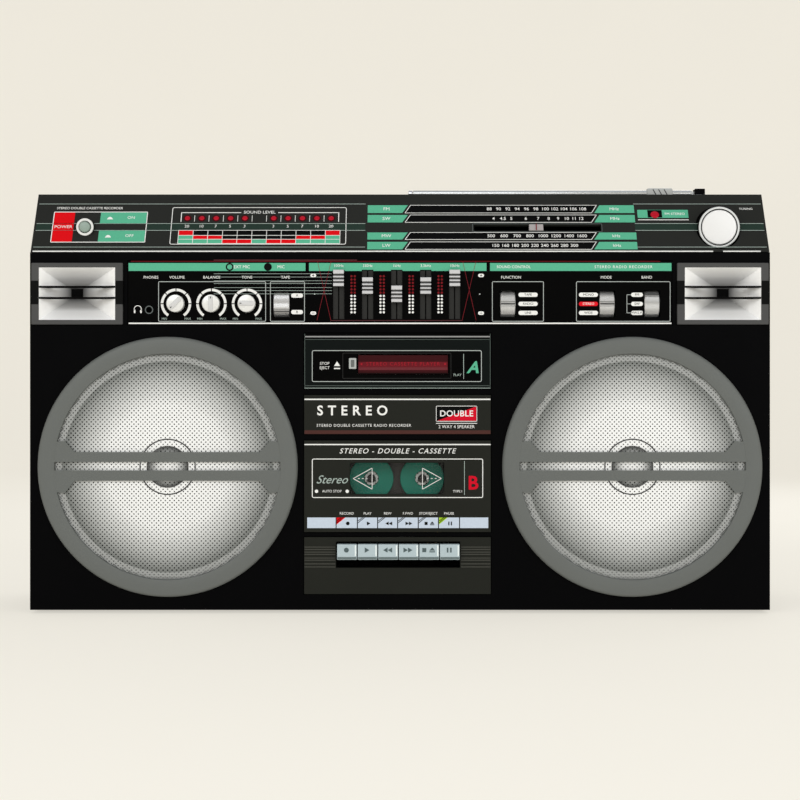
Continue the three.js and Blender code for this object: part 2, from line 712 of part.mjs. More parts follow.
place('deck_a_fascia', deckAFascia(), blackPlastic);
place('deck_a_flap', deckAFlap(), redPlastic, 0, FLAP.thick / 2, FLAP.axisZ);
place('deck_a_eject_button', panel(EJECT, -3, 8), greyPlastic);
place('tape_chassis_a', tapeChassisA(), steel);
place('badge_plate', panel(column(BADGE), -PANEL_PROUD, WALL), blackPlastic);
place('deck_b_door', deckBDoor(), blackPlastic);
place('deck_b_window', deckBWindow(), clear);
place('tape_chassis_b', tapeChassisB(), steel);
place('supply_spindle', spindle(), teal, HUB_X[0], 0, HUB_Z);
place('takeup_spindle', spindle(), teal, HUB_X[1], 0, HUB_Z);
place('flywheel', flywheel(), steel, CAPSTAN.x, 0, CAPSTAN.z);
place('deck_motor', rodY(MOTOR.radius, CHASSIS_B_Y + 2.3, 48, MOTOR.x, MOTOR.z, 32), steel);
place('motor_pulley', motorPulley(), steel, MOTOR.x, 0, MOTOR.z);
place('drive_belt', driveBelt(), rubber);
place('head_bridge', headBridge(), steel);
place('key_panel', keyPanel(), blackPlastic);
KEY_NAMES.forEach((name, i) => {
  const x = KEY.x + (i - (KEY_NAMES.length - 1) / 2) * KEY.pitch;
  place(`key_${name}`, key(), paleKey, x, KEY.pivotY, KEY.pivotZ);
});

for (const [side, sign] of [['left', -1], ['right', 1]]) {
  place(`speaker_grille_${side}`, speakerGrille(), silver, sign * WOOFER_X, 0, WOOFER_Z);
  place(`woofer_frame_${side}`, wooferFrame(), steel, sign * WOOFER_X, 0, WOOFER_Z);
  place(`woofer_cone_${side}`, wooferCone(), paper, sign * WOOFER_X, 0, WOOFER_Z);
  place(`tweeter_horn_${side}`, tweeterHorn(), silver, sign * HORN_X, 0, HORN.z);
}

place('carrying_handle', carryingHandle(), blackPlastic, 0, HANDLE.y, HANDLE.z);
place('antenna_pivot', antennaPivot(), blackPlastic, ANTENNA.x, ANTENNA.y, 0);
place('antenna_mast', antennaMast(), silver, ANTENNA.x, ANTENNA.y, ANTENNA.z);
place('antenna_rod', antennaRod(), silver, ANTENNA.x, ANTENNA.y, ANTENNA.z);
place('battery_door', batteryDoor(), blackPlastic);
place('mains_inlet', mainsInlet(), blackPlastic, INLET.x, 0, INLET.z);
place('power_transformer', powerTransformer(), steel, 214, 90, WALL + GAP);
place('foot_left', block(-20, 20, 35, 135, -FOOT_HEIGHT, -GAP), rubber, -210);
place('foot_right', block(-20, 20, 35, 135, -FOOT_HEIGHT, -GAP), rubber, 210);

export default part;
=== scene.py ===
"""Looks for the twin-cassette stereo radio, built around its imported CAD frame.

Lengths in this script are millimetres in the cabinet's own frame, as in the CAD source:
x from the centre to the right, y from the front face to the back, z up from the underside.
"""
import math

import bmesh
import bpy
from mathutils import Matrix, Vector

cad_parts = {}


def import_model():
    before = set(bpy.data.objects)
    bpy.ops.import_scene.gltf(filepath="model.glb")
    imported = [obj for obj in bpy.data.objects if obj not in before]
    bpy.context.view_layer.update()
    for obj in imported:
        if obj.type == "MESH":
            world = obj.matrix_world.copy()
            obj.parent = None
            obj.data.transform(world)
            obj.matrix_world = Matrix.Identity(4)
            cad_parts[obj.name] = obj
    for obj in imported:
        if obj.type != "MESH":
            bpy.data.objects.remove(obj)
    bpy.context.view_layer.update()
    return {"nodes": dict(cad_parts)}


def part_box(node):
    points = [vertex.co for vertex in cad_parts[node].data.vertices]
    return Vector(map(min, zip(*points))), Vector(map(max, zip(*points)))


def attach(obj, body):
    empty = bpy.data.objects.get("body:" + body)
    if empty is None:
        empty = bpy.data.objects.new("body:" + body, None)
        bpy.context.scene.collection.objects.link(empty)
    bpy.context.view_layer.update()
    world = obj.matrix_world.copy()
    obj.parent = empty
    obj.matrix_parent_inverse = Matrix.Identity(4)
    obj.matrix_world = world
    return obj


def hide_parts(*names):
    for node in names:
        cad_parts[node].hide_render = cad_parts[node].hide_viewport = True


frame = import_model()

# --- places taken from the frame

MM = 0.001
CASE_LOW, CASE_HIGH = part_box("front_cabinet")
FACE_Y = CASE_LOW.y
BASE_Z = CASE_LOW.z


def span(node):
    """(x0, x1, y0, y1, z0, z1) of a CAD node, in cabinet millimetres."""
    low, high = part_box(node)
    return (low.x / MM, high.x / MM, (low.y - FACE_Y) / MM, (high.y - FACE_Y) / MM,
            (low.z - BASE_Z) / MM, (high.z - BASE_Z) / MM)


def middle(node):
    x0, x1, y0, y1, z0, z1 = span(node)
    return (x0 + x1) / 2, (y0 + y1) / 2, (z0 + z1) / 2


def world(x, y, z):
    return Vector((x * MM, FACE_Y + y * MM, BASE_Z + z * MM))


HEIGHT = (CASE_HIGH.z - BASE_Z) / MM
DEPTH = span("rear_cabinet")[3]
SLOPE_Z = span("dial_panel")[4]
SLOPE_RISE = HEIGHT - SLOPE_Z
SLOPE_SETBACK = 30
SLOPE_ANGLE = math.atan2(SLOPE_SETBACK, SLOPE_RISE)
SIN, COS = math.sin(SLOPE_ANGLE), math.cos(SLOPE_ANGLE)

# --- camera

VIEW_DISTANCE = 1330
VIEW_HEIGHT = 158.9
LENS = 79.1
SENSOR = 36
FAR_CLIP = 20

camera_data = bpy.data.cameras.new("camera")
camera_data.lens = LENS
camera_data.sensor_width = SENSOR
camera_data.clip_end = FAR_CLIP
camera = bpy.data.objects.new("camera", camera_data)
camera.location = world(0, -VIEW_DISTANCE, VIEW_HEIGHT)
camera.rotation_euler = (math.pi / 2, 0, 0)
bpy.context.scene.collection.objects.link(camera)
bpy.context.scene.camera = camera
bpy.context.scene.view_settings.view_transform = "Standard"

# --- materials


def srgb(r, g, b):
    """0-255 display colour to a linear RGBA."""
    def linear(c):
        c /= 255
        return c / 12.92 if c <= 0.04045 else ((c + 0.055) / 1.055) ** 2.4
    return (linear(r), linear(g), linear(b), 1.0)


MIX_INPUTS = (0, 6, 7)  # factor and the two colours of a colour mix node
NOISE_LOW, NOISE_HIGH = 0.3, 0.7  # noise seldom leaves this band
FINE, SCRATCHED, ETCHED = 0.00006, 0.00003, 0.0001  # depths of surface detail in metres


class Nodes:
    """A short way to build one material's node tree."""

    def __init__(self, name):
        self.material = bpy.data.materials.new(name)
        self.material.use_nodes = True
        self.tree = self.material.node_tree
        self.shader = self.tree.nodes["Principled BSDF"]
        self.where = self.add("ShaderNodeTexCoord").outputs["Object"]

    def add(self, kind, **settings):
        node = self.tree.nodes.new(kind)
        for key, value in settings.items():
            if key in node.inputs:
                self.fill(node.inputs[key], value)
            else:
                setattr(node, key, value)
        return node

    def fill(self, socket, value):
        """Links a socket to another one, or sets its value."""
        if hasattr(value, "links"):
            self.tree.links.new(value, socket)
        else:
            socket.default_value = value

    def put(self, **sockets):
        """Fills sockets of the shader; an underscore stands for a space."""
        for name, value in sockets.items():
            self.fill(self.shader.inputs[name.replace("_", " ")], value)

    def noise(self, scale, detail=3.0, stretch=None):
        source = self.where
        if stretch:
            source = self.add("ShaderNodeMapping", Vector=source, Scale=stretch).outputs["Vector"]
        return self.add("ShaderNodeTexNoise", Vector=source, Scale=scale, Detail=detail).outputs["Fac"]

    def ranged(self, value, low, high, start=NOISE_LOW, end=NOISE_HIGH):
        node = self.add("ShaderNodeMapRange", Value=value)
        for name, number in (("From Min", start), ("From Max", end), ("To Min", low), ("To Max", high)):
            node.inputs[name].default_value = number
        return node.outputs["Result"]

    def mix(self, fac, first, second, blend="MIX"):
        node = self.add("ShaderNodeMix", data_type="RGBA", blend_type=blend)
        for k, value in zip(MIX_INPUTS, (fac, first, second)):
            self.fill(node.inputs[k], value)
        return node.outputs[2]

    def bump(self, height, strength, distance):
        node = self.add("ShaderNodeBump", Height=height, Strength=strength, Distance=distance)
        self.put(Normal=node.outputs["Normal"])

    def maths(self, kind, operation, first, second):
        node = self.add(kind, operation=operation)
        self.fill(node.inputs[0], first)
        self.fill(node.inputs[1], second)
        return node.outputs

    def off_axis(self, place):
        """Distance in metres of a place from the y axis."""
        flat = self.maths("ShaderNodeVectorMath", "MULTIPLY", place, (1, 0, 1))[0]
        return self.maths("ShaderNodeVectorMath", "LENGTH", flat, (0, 0, 0))["Value"]

    def ramp(self, share, stops):
        """A colour ramp; stops are (place in mm, colour) and the last place is the far end."""
        node = self.add("ShaderNodeValToRGB", Fac=share)
        keys, reach = node.color_ramp.elements, stops[-1][0]
        keys[0].position, keys[0].color = stops[0][0] / reach, paint(stops[0][1])
        keys[1].position, keys[1].color = 1.0, paint(stops[-1][1])
        for place, colour in stops[1:-1]:
            keys.new(place / reach).color = paint(colour)
        return node.outputs["Color"]


def paint(colour):
    """A display colour, or one number for a grey, as linear RGBA."""
    return srgb(*colour) if isinstance(colour, tuple) else srgb(colour, colour, colour)


def scaled(color, factor):
    return tuple(min(1.0, c * factor) for c in color[:3]) + (1.0,)


def mottled(m, fac, color, low, high):
    """The colour varied between two brightnesses by a 0-1 value."""
    return m.mix(fac, scaled(color, low), scaled(color, high))


def moulded(name, color, rough=0.45, grain=0.5, shade=0.12, specular=0.4, metallic=0.0, coat=0.0,
            cell=1600):
    """Moulded, painted or plated surface: fine grain, faint mottling and handling marks in the gloss."""
    m = Nodes(name)
    color = paint(color)
    fine = m.noise(cell, 4)
    base = mottled(m, m.noise(22, 3), color, 1 - shade, 1 + shade)
    speck = mottled(m, fine, color, 1 - shade, 1 + shade)
    gloss = m.ranged(m.noise(60, 5), rough - 0.06, rough + 0.06)
    m.put(Base_Color=m.mix(0.5, base, speck), Roughness=gloss, Metallic=metallic,
          Specular_IOR_Level=specular, Coat_Weight=coat)
    m.bump(fine, grain, FINE)
    return m.material


def printed(name, color, rough=0.5, glow=0.0):
    """Screen-printed ink: slightly uneven density, thin and matt."""
    m = Nodes(name)
    patch = mottled(m, m.noise(900, 4), paint(color), 0.9, 1.06)
    m.put(Base_Color=patch, Roughness=m.ranged(m.noise(300, 2), rough - 0.05, rough + 0.05),
          Specular_IOR_Level=0.06)
    # a glow makes the ink shine: painted light
    if glow:
        m.put(Emission_Color=patch, Emission_Strength=glow)
    return m.material


def brushed(name, color, rough=0.3, stretch=(1, 1, 60), metallic=1.0, strength=0.15):
    """Metal with fine scratches along one direction."""
    m = Nodes(name)
    lines = m.noise(1500, 3, stretch)
    m.put(Base_Color=mottled(m, lines, paint(color), 0.86, 1.08),
          Roughness=m.ranged(lines, rough - 0.07, rough + 0.1), Metallic=metallic)
    m.bump(lines, strength, SCRATCHED)
    return m.material


BOARD_Y = 26.8  # front face of the main board


def circuit(name):
    """Dark component bodies in front of a green board."""
    m = Nodes(name)
    depth = m.add("ShaderNodeSeparateXYZ", Vector=m.where).outputs["Y"]
    on_board = m.maths("ShaderNodeMath", "GREATER_THAN", depth, FACE_Y + BOARD_Y * MM)[0]
    traces = m.noise(260, 2, (1, 1, 5))
    green = m.mix(traces, srgb(30, 84, 44), srgb(52, 118, 66))
    dark = m.mix(m.noise(900, 3), srgb(12, 12, 13), srgb(20, 20, 21))
    m.put(Base_Color=m.mix(on_board, dark, green), Roughness=m.ranged(traces, 0.4, 0.6))
    m.bump(traces, 0.2, ETCHED)
    return m.material


def lens(name, color, glow=0.0, rough=0.08, alpha=1.0, specular=0.5):
    """Clear or tinted plastic, with faint dust in its gloss."""
    m = Nodes(name)
    dust = m.noise(500, 4)
    m.put(Base_Color=mottled(m, dust, paint(color), 0.92, 1.05), Specular_IOR_Level=specular,
          Roughness=m.ranged(dust, rough, rough + 0.06), Alpha=alpha)
    if glow:
        m.put(Emission_Color=paint(color), Emission_Strength=glow)
    return m.material


def graded(m, ramp, fine, least, rough, metallic, grain, depth):
    """Finishes a surface whose colour comes from a ramp."""
    mottle = m.mix(fine, (least, least, least, 1), (1, 1, 1, 1))
    m.put(Base_Color=m.mix(1.0, ramp, mottle, "MULTIPLY"), Roughness=rough, Metallic=metallic)
    m.bump(fine, grain, depth)
    return m.material


def radial_painted_shade(name, stops, rough, metallic=0.0):
    """Painted shade by distance from the middle of a round part out to its rim; stops are (radius in mm,
    colour).
    """
    m = Nodes(name)
    share = m.maths("ShaderNodeMath", "DIVIDE", m.off_axis(m.where), stops[-1][0] * MM)[0]
    return graded(m, m.ramp(share, stops), m.noise(900, 4), 0.93,
                  m.ranged(m.noise(80, 4), rough - 0.05, rough + 0.08), metallic, 0.3, 0.00005)


def horn_painted_shade(name, stops):
    """Metallised skin with painted shade that darkens it towards the throat; stops are (depth in mm, colour).
    """
    m = Nodes(name)
    depth = m.add("ShaderNodeSeparateXYZ", Vector=m.where).outputs["Y"]
    share = m.ranged(depth, 0, 1, 0, stops[-1][0] * MM)
    fine = m.noise(1400, 2)
    return graded(m, m.ramp(share, stops), fine, 0.97, m.ranged(fine, 0.3, 0.38), 0.1, 0.05, SCRATCHED)


def spun_face(x, z):
    """Lathe-turned aluminium: fine rings about the knob's own axis."""
    m = Nodes("spun_face")
    moved = m.maths("ShaderNodeVectorMath", "SUBTRACT", m.where, world(x, 0, z))[0]
    place = m.add("ShaderNodeCombineXYZ", X=m.off_axis(moved)).outputs[0]
    rings = m.add("ShaderNodeTexNoise", Vector=place, Scale=4200.0, Detail=2.0).outputs["Fac"]
    m.put(Base_Color=m.mix(rings, paint(214), paint(232)), Roughness=m.ranged(rings, 0.3, 0.42), Metallic=0.3)
    m.bump(rings, 0.1, SCRATCHED)
    return m.material


case_black = moulded("case_black", (3, 3, 4), 0.5, grain=0.6, specular=0.03)
rear_black = moulded("rear_black", (24, 24, 25), 0.5, grain=0.9, specular=0.3)
fascia_black = moulded("fascia_black", 3, 0.45, grain=0.25, specular=0.025)
fascia_grey = moulded("fascia_grey", (35, 36, 32), 0.5, grain=0.3, specular=0.05)
dial_grey = moulded("dial_grey", (39, 40, 38), 0.5, grain=0.35, specular=0.05)
well_black = moulded("well_black", 5, 0.6, grain=0.3, specular=0.04)
ring_grey = moulded("ring_grey", (101, 104, 102), 0.45, grain=0.45, shade=0.06, specular=0.2)
bezel_grey = moulded("bezel_grey", 76, 0.5, grain=0.4, specular=0.1)
button_grey = moulded("button_grey", (142, 160, 150), 0.4, grain=0.3)
eject_pale = moulded("eject_pale", (176, 180, 178), 0.4, grain=0.2)
eject_dark = moulded("eject_dark", (96, 100, 98), 0.45, grain=0.2)
key_pale = moulded("key_pale", (176, 192, 198), 0.32, grain=0.15, shade=0.04, coat=0.2)
silver_knob = moulded("silver_knob", (228, 228, 226), 0.28, grain=0.15, shade=0.04, metallic=0.25, coat=0.3)
rubber_black = moulded("rubber_black", 24, 0.8, grain=0.8, specular=0.2)
surround_rubber = moulded("surround_rubber", 34, 0.75, grain=0.5)
teal_reel = moulded("teal_reel", (40, 142, 120), 0.45, grain=0.25, specular=0.15)
varnish = moulded("varnish", (92, 84, 72), 0.4, grain=0.6)
pointer_grey = moulded("pointer_grey", (166, 160, 160), 0.35, grain=0.1)
grip_grey = moulded("grip_grey", 206, 0.35, grain=0.1, shade=0.03)
groove_dark = moulded("groove_dark", 46, 0.5, grain=0.2)
cap_silver = moulded("cap_silver", (200, 200, 203), 0.3, grain=0.15, shade=0.04, metallic=0.2, coat=0.2)
knob_grey = moulded("knob_grey", (212, 214, 214), 0.35, grain=0.15, metallic=0.1)
white_collar = moulded("white_collar", (226, 226, 224), 0.35, grain=0.2, shade=0.05)
flap_maroon = moulded("flap_maroon", (58, 20, 23), 0.4, grain=0.15, specular=0.03)
hub_white = moulded("hub_white", (224, 226, 222), 0.4, grain=0.2, shade=0.05)
hub_dark = moulded("hub_dark", (42, 36, 36), 0.5, grain=0.2)
chassis_brown = moulded("chassis_brown", (50, 43, 40), 0.5, grain=0.3)
gasket_grey = moulded("gasket_grey", (150, 152, 151), 0.6, grain=0.5, cell=500)
insert_dark = moulded("insert_dark", 14, 0.5, grain=0.3, specular=0.04)
collar_grey = moulded("collar_grey", (188, 190, 188), 0.4, grain=0.3)
steel = brushed("steel", (172, 174, 176), 0.34, stretch=(1, 60, 1))
brass = brushed("brass", (196, 166, 92), 0.28, stretch=(60, 1, 60))
drum_silver = brushed("drum_silver", 204, 0.25, stretch=(1, 60, 60), metallic=0.7)
chrome = brushed("chrome", (214, 215, 218), 0.16, stretch=(1, 60, 60), strength=0.05)
mast_metal = brushed("mast_metal", (206, 208, 208), 0.24, stretch=(1, 60, 60), metallic=0.85, strength=0.05)
white_ink = printed("white_ink", (238, 238, 236))
pale_ink = printed("pale_ink", (168, 182, 176))
soft_ink = printed("soft_ink", (182, 188, 186))
dim_ink = printed("dim_ink", (84, 94, 90))
cross_red = printed("cross_red", (124, 32, 40))
dull_red = printed("dull_red", (92, 50, 54))
crimson_ink = printed("crimson_ink", (206, 14, 40), 0.45)
green_ink = printed("green_ink", (90, 178, 144))
red_ink = printed("red_ink", (220, 10, 20), 0.45)
deep_red_ink = printed("deep_red_ink", (120, 24, 30))
black_ink = printed("black_ink", 4)
tint_ink = printed("tint_ink", (38, 54, 47))
grey_ink = printed("grey_ink", (96, 102, 102))
track_ink = printed("track_ink", (48, 48, 47), 0.7)
label_paper = printed("label_paper", (198, 210, 226), 0.6)
lime_ink = printed("lime_ink", (160, 200, 40))
# painted glow: red ink that shines on the chosen selector pill, which has no lamp
painted_glow_red = printed("painted_glow_red", (200, 20, 32), 0.4, glow=0.35)
lamp_rim = printed("lamp_rim", (64, 8, 16))
ring_line = printed("ring_line", 150)
strip_brown = printed("strip_brown", (76, 46, 42))
groove_brown = printed("groove_brown", (74, 74, 69))
deck_tint = printed("deck_tint", (9, 15, 14))
# a painted highlight for each key's right shoulder, and painted shade for its lower lip
key_painted_highlight = printed("key_painted_highlight", (236, 244, 244), 0.35)
key_painted_shade = printed("key_painted_shade", (104, 116, 118), 0.4)
symbol_grey = printed("symbol_grey", (84, 98, 100), 0.5)
flap_band = printed("flap_band", (102, 26, 34), 0.35)
flap_line = printed("flap_line", (158, 30, 42), 0.35)
flap_light = printed("flap_light", (106, 44, 50), 0.35)
lamp_red = lens("lamp_red", (176, 10, 34), glow=0.06, rough=0.3, specular=0.15)
smoked_window = lens("smoked_window", (60, 64, 62), rough=0.04, alpha=0.1)
board_and_parts = circuit("board_and_parts")
HORN_DEPTH = 22.0  # from the front face to the throat
# the cone behind, painted onto the mesh: a light middle, painted shade at the dust cap's edge, the cone's own
# black ring, painted shade that darkens the cone towards its edge, and the grey of the frame beyond
MESH_SHADE_STOPS = (
    (0, 248), (7, (226, 227, 227)), (13, (118, 120, 119)), (15.6, 30), (16.2, (246, 247, 247)),
    (20.3, (246, 247, 247)), (20.5, 16), (21.3, 16), (21.5, (246, 247, 247)), (46, (240, 241, 241)),
    (64, (186, 188, 187)), (78.2, (118, 121, 119)), (79.6, (118, 121, 119)), (80, (160, 162, 161)),
    (86, (160, 162, 161)),
)
mesh_painted_shade = radial_painted_shade("mesh_painted_shade", MESH_SHADE_STOPS, 0.4, 0.1)
# painted shade: the cone darkens from its middle towards its rim
cone_painted_shade = radial_painted_shade("cone_painted_shade", ((0, 250), (42, 244), (62, (196, 198, 197)), (77, (112, 115, 113))), 0.55)
# painted shade: the dust cap darkens towards its edge
cap_painted_shade = radial_painted_shade("cap_painted_shade", ((0, 248), (7, 226), (13.5, (120, 122, 121)), (16, 26)), 0.45)
# painted shade: the horn walls darken towards the throat, with the side walls painted lighter than the top
# and bottom ones
horn_sides_painted_shade = horn_painted_shade("horn_sides_painted_shade", ((0, 255), (6, 252), (12, 216), (18, 158), (HORN_DEPTH, 84)))
horn_ends_painted_shade = horn_painted_shade("horn_ends_painted_shade", ((0, 255), (8, 244), (15, 192), (HORN_DEPTH, 84)))

# --- mesh building

MERGE = 1e-4  # points nearer than this are one
TEXT_THICK = 0.12
TEXT_SCALE = 1.42  # font size for a capital's height
ROUND, SHARP = 32, 28  # degrees: softened skins shade smooth below, and edges are rounded above
NODE_MERGE = 1e-6


def front(y):
    """A plane facing the viewer at depth y: (u, v, d) is (x, z, depth behind the plane)."""
    return lambda u, v, d: (u, y + d, v)


def slanted(u, v, d):
    """The slanted dial face: u across, v up the slope from its foot, d square into it."""
    return (u, v * SIN + d * COS, SLOPE_Z + v * COS - d * SIN)


def behind(u, v, d):
    """The back face, seen from behind: u still grows with x."""
    return (u, DEPTH - d, v)


def mirrored(about):
    """The back face with lettering that reads from behind, turned about a line x = about."""
    return lambda u, v, d: (2 * about - u, DEPTH - d, v)


def finished(mesh, name, body, material, replaces, smooth, start=(0, 0, 0)):
    """Shades a mesh and makes it one object; with a body it rides on that body."""
    limit = math.radians(smooth)
    for face in mesh.faces:
        face.smooth = True
    for edge in mesh.edges:
        edge.smooth = len(edge.link_faces) == 2 and edge.calc_face_angle(0) < limit
    data = bpy.data.meshes.new(name)
    mesh.to_mesh(data)
    mesh.free()
    data.materials.append(material)
    obj = bpy.data.objects.new(name, data)
    obj.location = start
    bpy.context.scene.collection.objects.link(obj)
    if body:
        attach(obj, body)
    if replaces:
        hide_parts(*replaces)
    return obj


class Shape:
    """Collects solids in cabinet millimetres and turns them into one piece."""

    def __init__(self):
        self.mesh = bmesh.new()

    def loft(self, rings, caps=2):
        """Joins rings of points of the same length.

        Two caps close both ends and one cap the first end; without caps the last ring joins the first.
        """
        rows = [[self.mesh.verts.new(p) for p in ring] for ring in rings]
        for a, b in zip(rows, rows[1:] + ([] if caps else rows[:1])):
            for i in range(len(a)):
                j = (i + 1) % len(a)
                self.mesh.faces.new((a[i], a[j], b[j], b[i]))
        for row in (rows[0], rows[-1])[:caps]:
            self.mesh.faces.new(row)
        return self

    def prism(self, plane, outline, d0, d1):
        return self.loft([[plane(u, v, d) for u, v in outline] for d in (d0, d1)])

    def ribbon(self, plane, outer, inner, d0, d1):
        """A flat closed band between two outlines of the same length."""
        corners = ((outer, d0), (inner, d0), (inner, d1), (outer, d1))
        return self.loft([[plane(u, v, d) for u, v in line] for line, d in corners], caps=0)

    def turned(self, profile, centre=(0, 0, 0), sides=96, axis="Y"):
        """Turns [radius, along] points about an axis through centre; the profile is a closed line."""
        cx, cy, cz = centre
        rings = []
        for c, s in (turn(i / sides) for i in range(sides)):
            if axis == "Y":
                rings.append([(cx + r * c, cy + a, cz + r * s) for r, a in profile])
            else:
                rings.append([(cx + a, cy + r * c, cz + r * s) for r, a in profile])
        return self.loft(rings, caps=0)

    def fluted(self, profile, place, sides, cut, caps=2):
        """Rings about an axis: cut(k, radius) is the flute at point k, place(r, along, c, s) the point."""
        return self.loft([[place(r - cut(k, r), along, *turn(k / sides)) for k in range(sides)]
                          for r, along in profile], caps)

    def text(self, words, plane, u, v, size, d, align="CENTER", shear=0.0, bold=0.0, spacing=1.0):
        curve = bpy.data.curves.new("text", "FONT")
        curve.body = words
        curve.size = size * TEXT_SCALE
        curve.align_x = align
        curve.align_y = "CENTER"
        curve.shear = shear
        curve.offset = bold
        curve.extrude = TEXT_THICK / 2
        curve.resolution_u = 3
        curve.space_character = spacing
        holder = bpy.data.objects.new("text", curve)
        flat = bpy.data.meshes.new_from_object(holder)
        for vertex in flat.vertices:
            a, b, c = vertex.co
            vertex.co = plane(u + a, v + b, d - c + TEXT_THICK / 2)
        self.mesh.from_mesh(flat)
        bpy.data.objects.remove(holder)
        bpy.data.curves.remove(curve)
        bpy.data.meshes.remove(flat)

    def piece(self, name, body, slot, material, replaces=(), smooth=35, origin=(0, 0, 0)):
        """Finishes the collected solids as one object."""
        start = world(*origin)
        bmesh.ops.remove_doubles(self.mesh, verts=self.mesh.verts, dist=MERGE)
        bmesh.ops.recalc_face_normals(self.mesh, faces=self.mesh.faces)
        for vertex in self.mesh.verts:
            vertex.co = world(*vertex.co) - start
        return finished(self.mesh, name, body, material, replaces, smooth, start)


def turn(share):
    """Cosine and sine of a share of a full turn."""
    return math.cos(2 * math.pi * share), math.sin(2 * math.pi * share)


def rect(u0, u1, v0, v1):
    return [(u0, v0), (u1, v0), (u1, v1), (u0, v1)]


def rounded(u0, u1, v0, v1, r, steps=5):
    """A rectangle with round corners."""
    corners = ((u1 - r, v0 + r, -90), (u1 - r, v1 - r, 0), (u0 + r, v1 - r, 90), (u0 + r, v0 + r, 180))
    points = []
    for cu, cv, start in corners:
        for k in range(steps + 1):
            a = math.radians(start + 90 * k / steps)
            points.append((cu + r * math.cos(a), cv + r * math.sin(a)))
    return points


def circle(u, v, r, sides=32):
    return [(u + r * c, v + r * s) for c, s in (turn(k / sides) for k in range(sides))]


def sector(u, v, r0, r1, from_deg, to_deg, steps=8):
    """A piece of a ring, angles clockwise from straight up."""
    angles = [math.radians(from_deg + (to_deg - from_deg) * k / steps) for k in range(steps + 1)]
    there = [(u + r1 * math.sin(a), v + r1 * math.cos(a)) for a in angles]
    return there + [(u + r0 * math.sin(a), v + r0 * math.cos(a)) for a in reversed(angles)]


def stroke(u0, v0, u1, v1, width):
    """A straight line of some width as an outline."""
    length = math.hypot(u1 - u0, v1 - v0)
    nu, nv = -(v1 - v0) / length * width / 2, (u1 - u0) / length * width / 2
    return [(u0 + nu, v0 + nv), (u1 + nu, v1 + nv), (u1 - nu, v1 - nv), (u0 - nu, v0 - nv)]


def rod(radius, start, end, hole=0.02):
    """The profile of a plain cylinder or tube."""
    return [(hole, start), (radius, start), (radius, end), (hole, end)]


def lathe(name, body, slot, material, profile, centre, sides=96, axis="Y", **more):
    """One turned solid as a piece of its own."""
    Shape().turned(profile, centre, sides, axis).piece(name, body, slot, material, **more)


INK = (-0.12, 0.15)  # print stands this far out of its face and reaches this far into it
# how much further out print stands that lies on other print, or how much less under it
SUNK, LOW, FIRM, HIGH = -0.04, 0.04, 0.05, 0.08
RING_SIDES = 36


class Print:
    """Everything printed on one plane of one body, one piece for each ink."""

    def __init__(self, name, plane, body, slot):
        self.name, self.plane, self.body, self.slot = name, plane, body, slot
        self.inks = {}

    def shape(self, ink):
        return self.inks.setdefault(ink.name, (Shape(), ink))[0]

    def fill(self, ink, outline, lift=0.0):
        self.shape(ink).prism(self.plane, outline, INK[0] - lift, INK[1])

    def bar(self, ink, u0, u1, v0, v1, lift=0.0):
        self.fill(ink, rect(u0, u1, v0, v1), lift)

    def rule(self, ink, u0, u1, v, width, lift=0.0):
        """A level line of some width."""
        self.bar(ink, u0, u1, v - width / 2, v + width / 2, lift)

    def line(self, ink, u0, v0, u1, v1, width=0.5, lift=0.0):
        self.fill(ink, stroke(u0, v0, u1, v1, width), lift)

    def band(self, ink, outer, inner, lift):
        self.shape(ink).ribbon(self.plane, outer, inner, INK[0] - lift, INK[1])

    def frame(self, ink, u0, u1, v0, v1, width=0.7, radius=1.5, lift=0.0):
        w = width
        self.band(ink, rounded(u0, u1, v0, v1, radius),
                  rounded(u0 + w, u1 - w, v0 + w, v1 - w, max(radius - w, 0.2)), lift)

    def dot(self, ink, u, v, r, lift=0.0, sides=20):
        self.fill(ink, circle(u, v, r, sides), lift)

    def ring(self, ink, u, v, r0, r1, lift=0.0):
        self.band(ink, circle(u, v, r1, RING_SIDES), circle(u, v, r0, RING_SIDES), lift)

    def text(self, ink, words, u, v, size, lift=0.0, plane=None, **how):
        self.shape(ink).text(words, plane or self.plane, u, v, size, INK[0] - lift, **how)

    def done(self):
        for shape, ink in self.inks.values():
            shape.piece(f"{self.name}_{ink.name}", self.body, self.slot, ink, smooth=20)


# --- CAD nodes with softened edges

FIXED = "cabinet"
CASE, DIAL, FASCIA = "cabinet_plastic", "dial_plastic", "fascia_plastic"


def soften(node, body, slot, material, width, least, segments=2):
    """A copy of a CAD node with its longer outer edges rounded, which stands for the node."""
    mesh = bmesh.new()
    mesh.from_mesh(frame["nodes"][node].data)
    bmesh.ops.remove_doubles(mesh, verts=mesh.verts, dist=NODE_MERGE)
    bmesh.ops.dissolve_limit(mesh, angle_limit=math.radians(1), verts=mesh.verts, edges=mesh.edges)
    bmesh.ops.recalc_face_normals(mesh, faces=mesh.faces)
    chosen = [e for e in mesh.edges if len(e.link_faces) == 2 and e.calc_length() > least * MM
              and e.is_convex and e.calc_face_angle(0) > math.radians(SHARP)]
    bmesh.ops.bevel(mesh, geom=chosen, offset=width * MM, offset_type="OFFSET", segments=segments,
                    profile=0.5, affect="EDGES", clamp_overlap=True)
    obj = finished(mesh, node + "_skin", body, material, [node], ROUND)
    obj.modifiers.new("flat faces", "WEIGHTED_NORMAL").keep_sharp = True


def coat(node, material):
    """A better material on a CAD node that stays."""
    data = frame["nodes"][node].data
    data.materials.clear()
    data.materials.append(material)


# --- cabinet and hidden parts

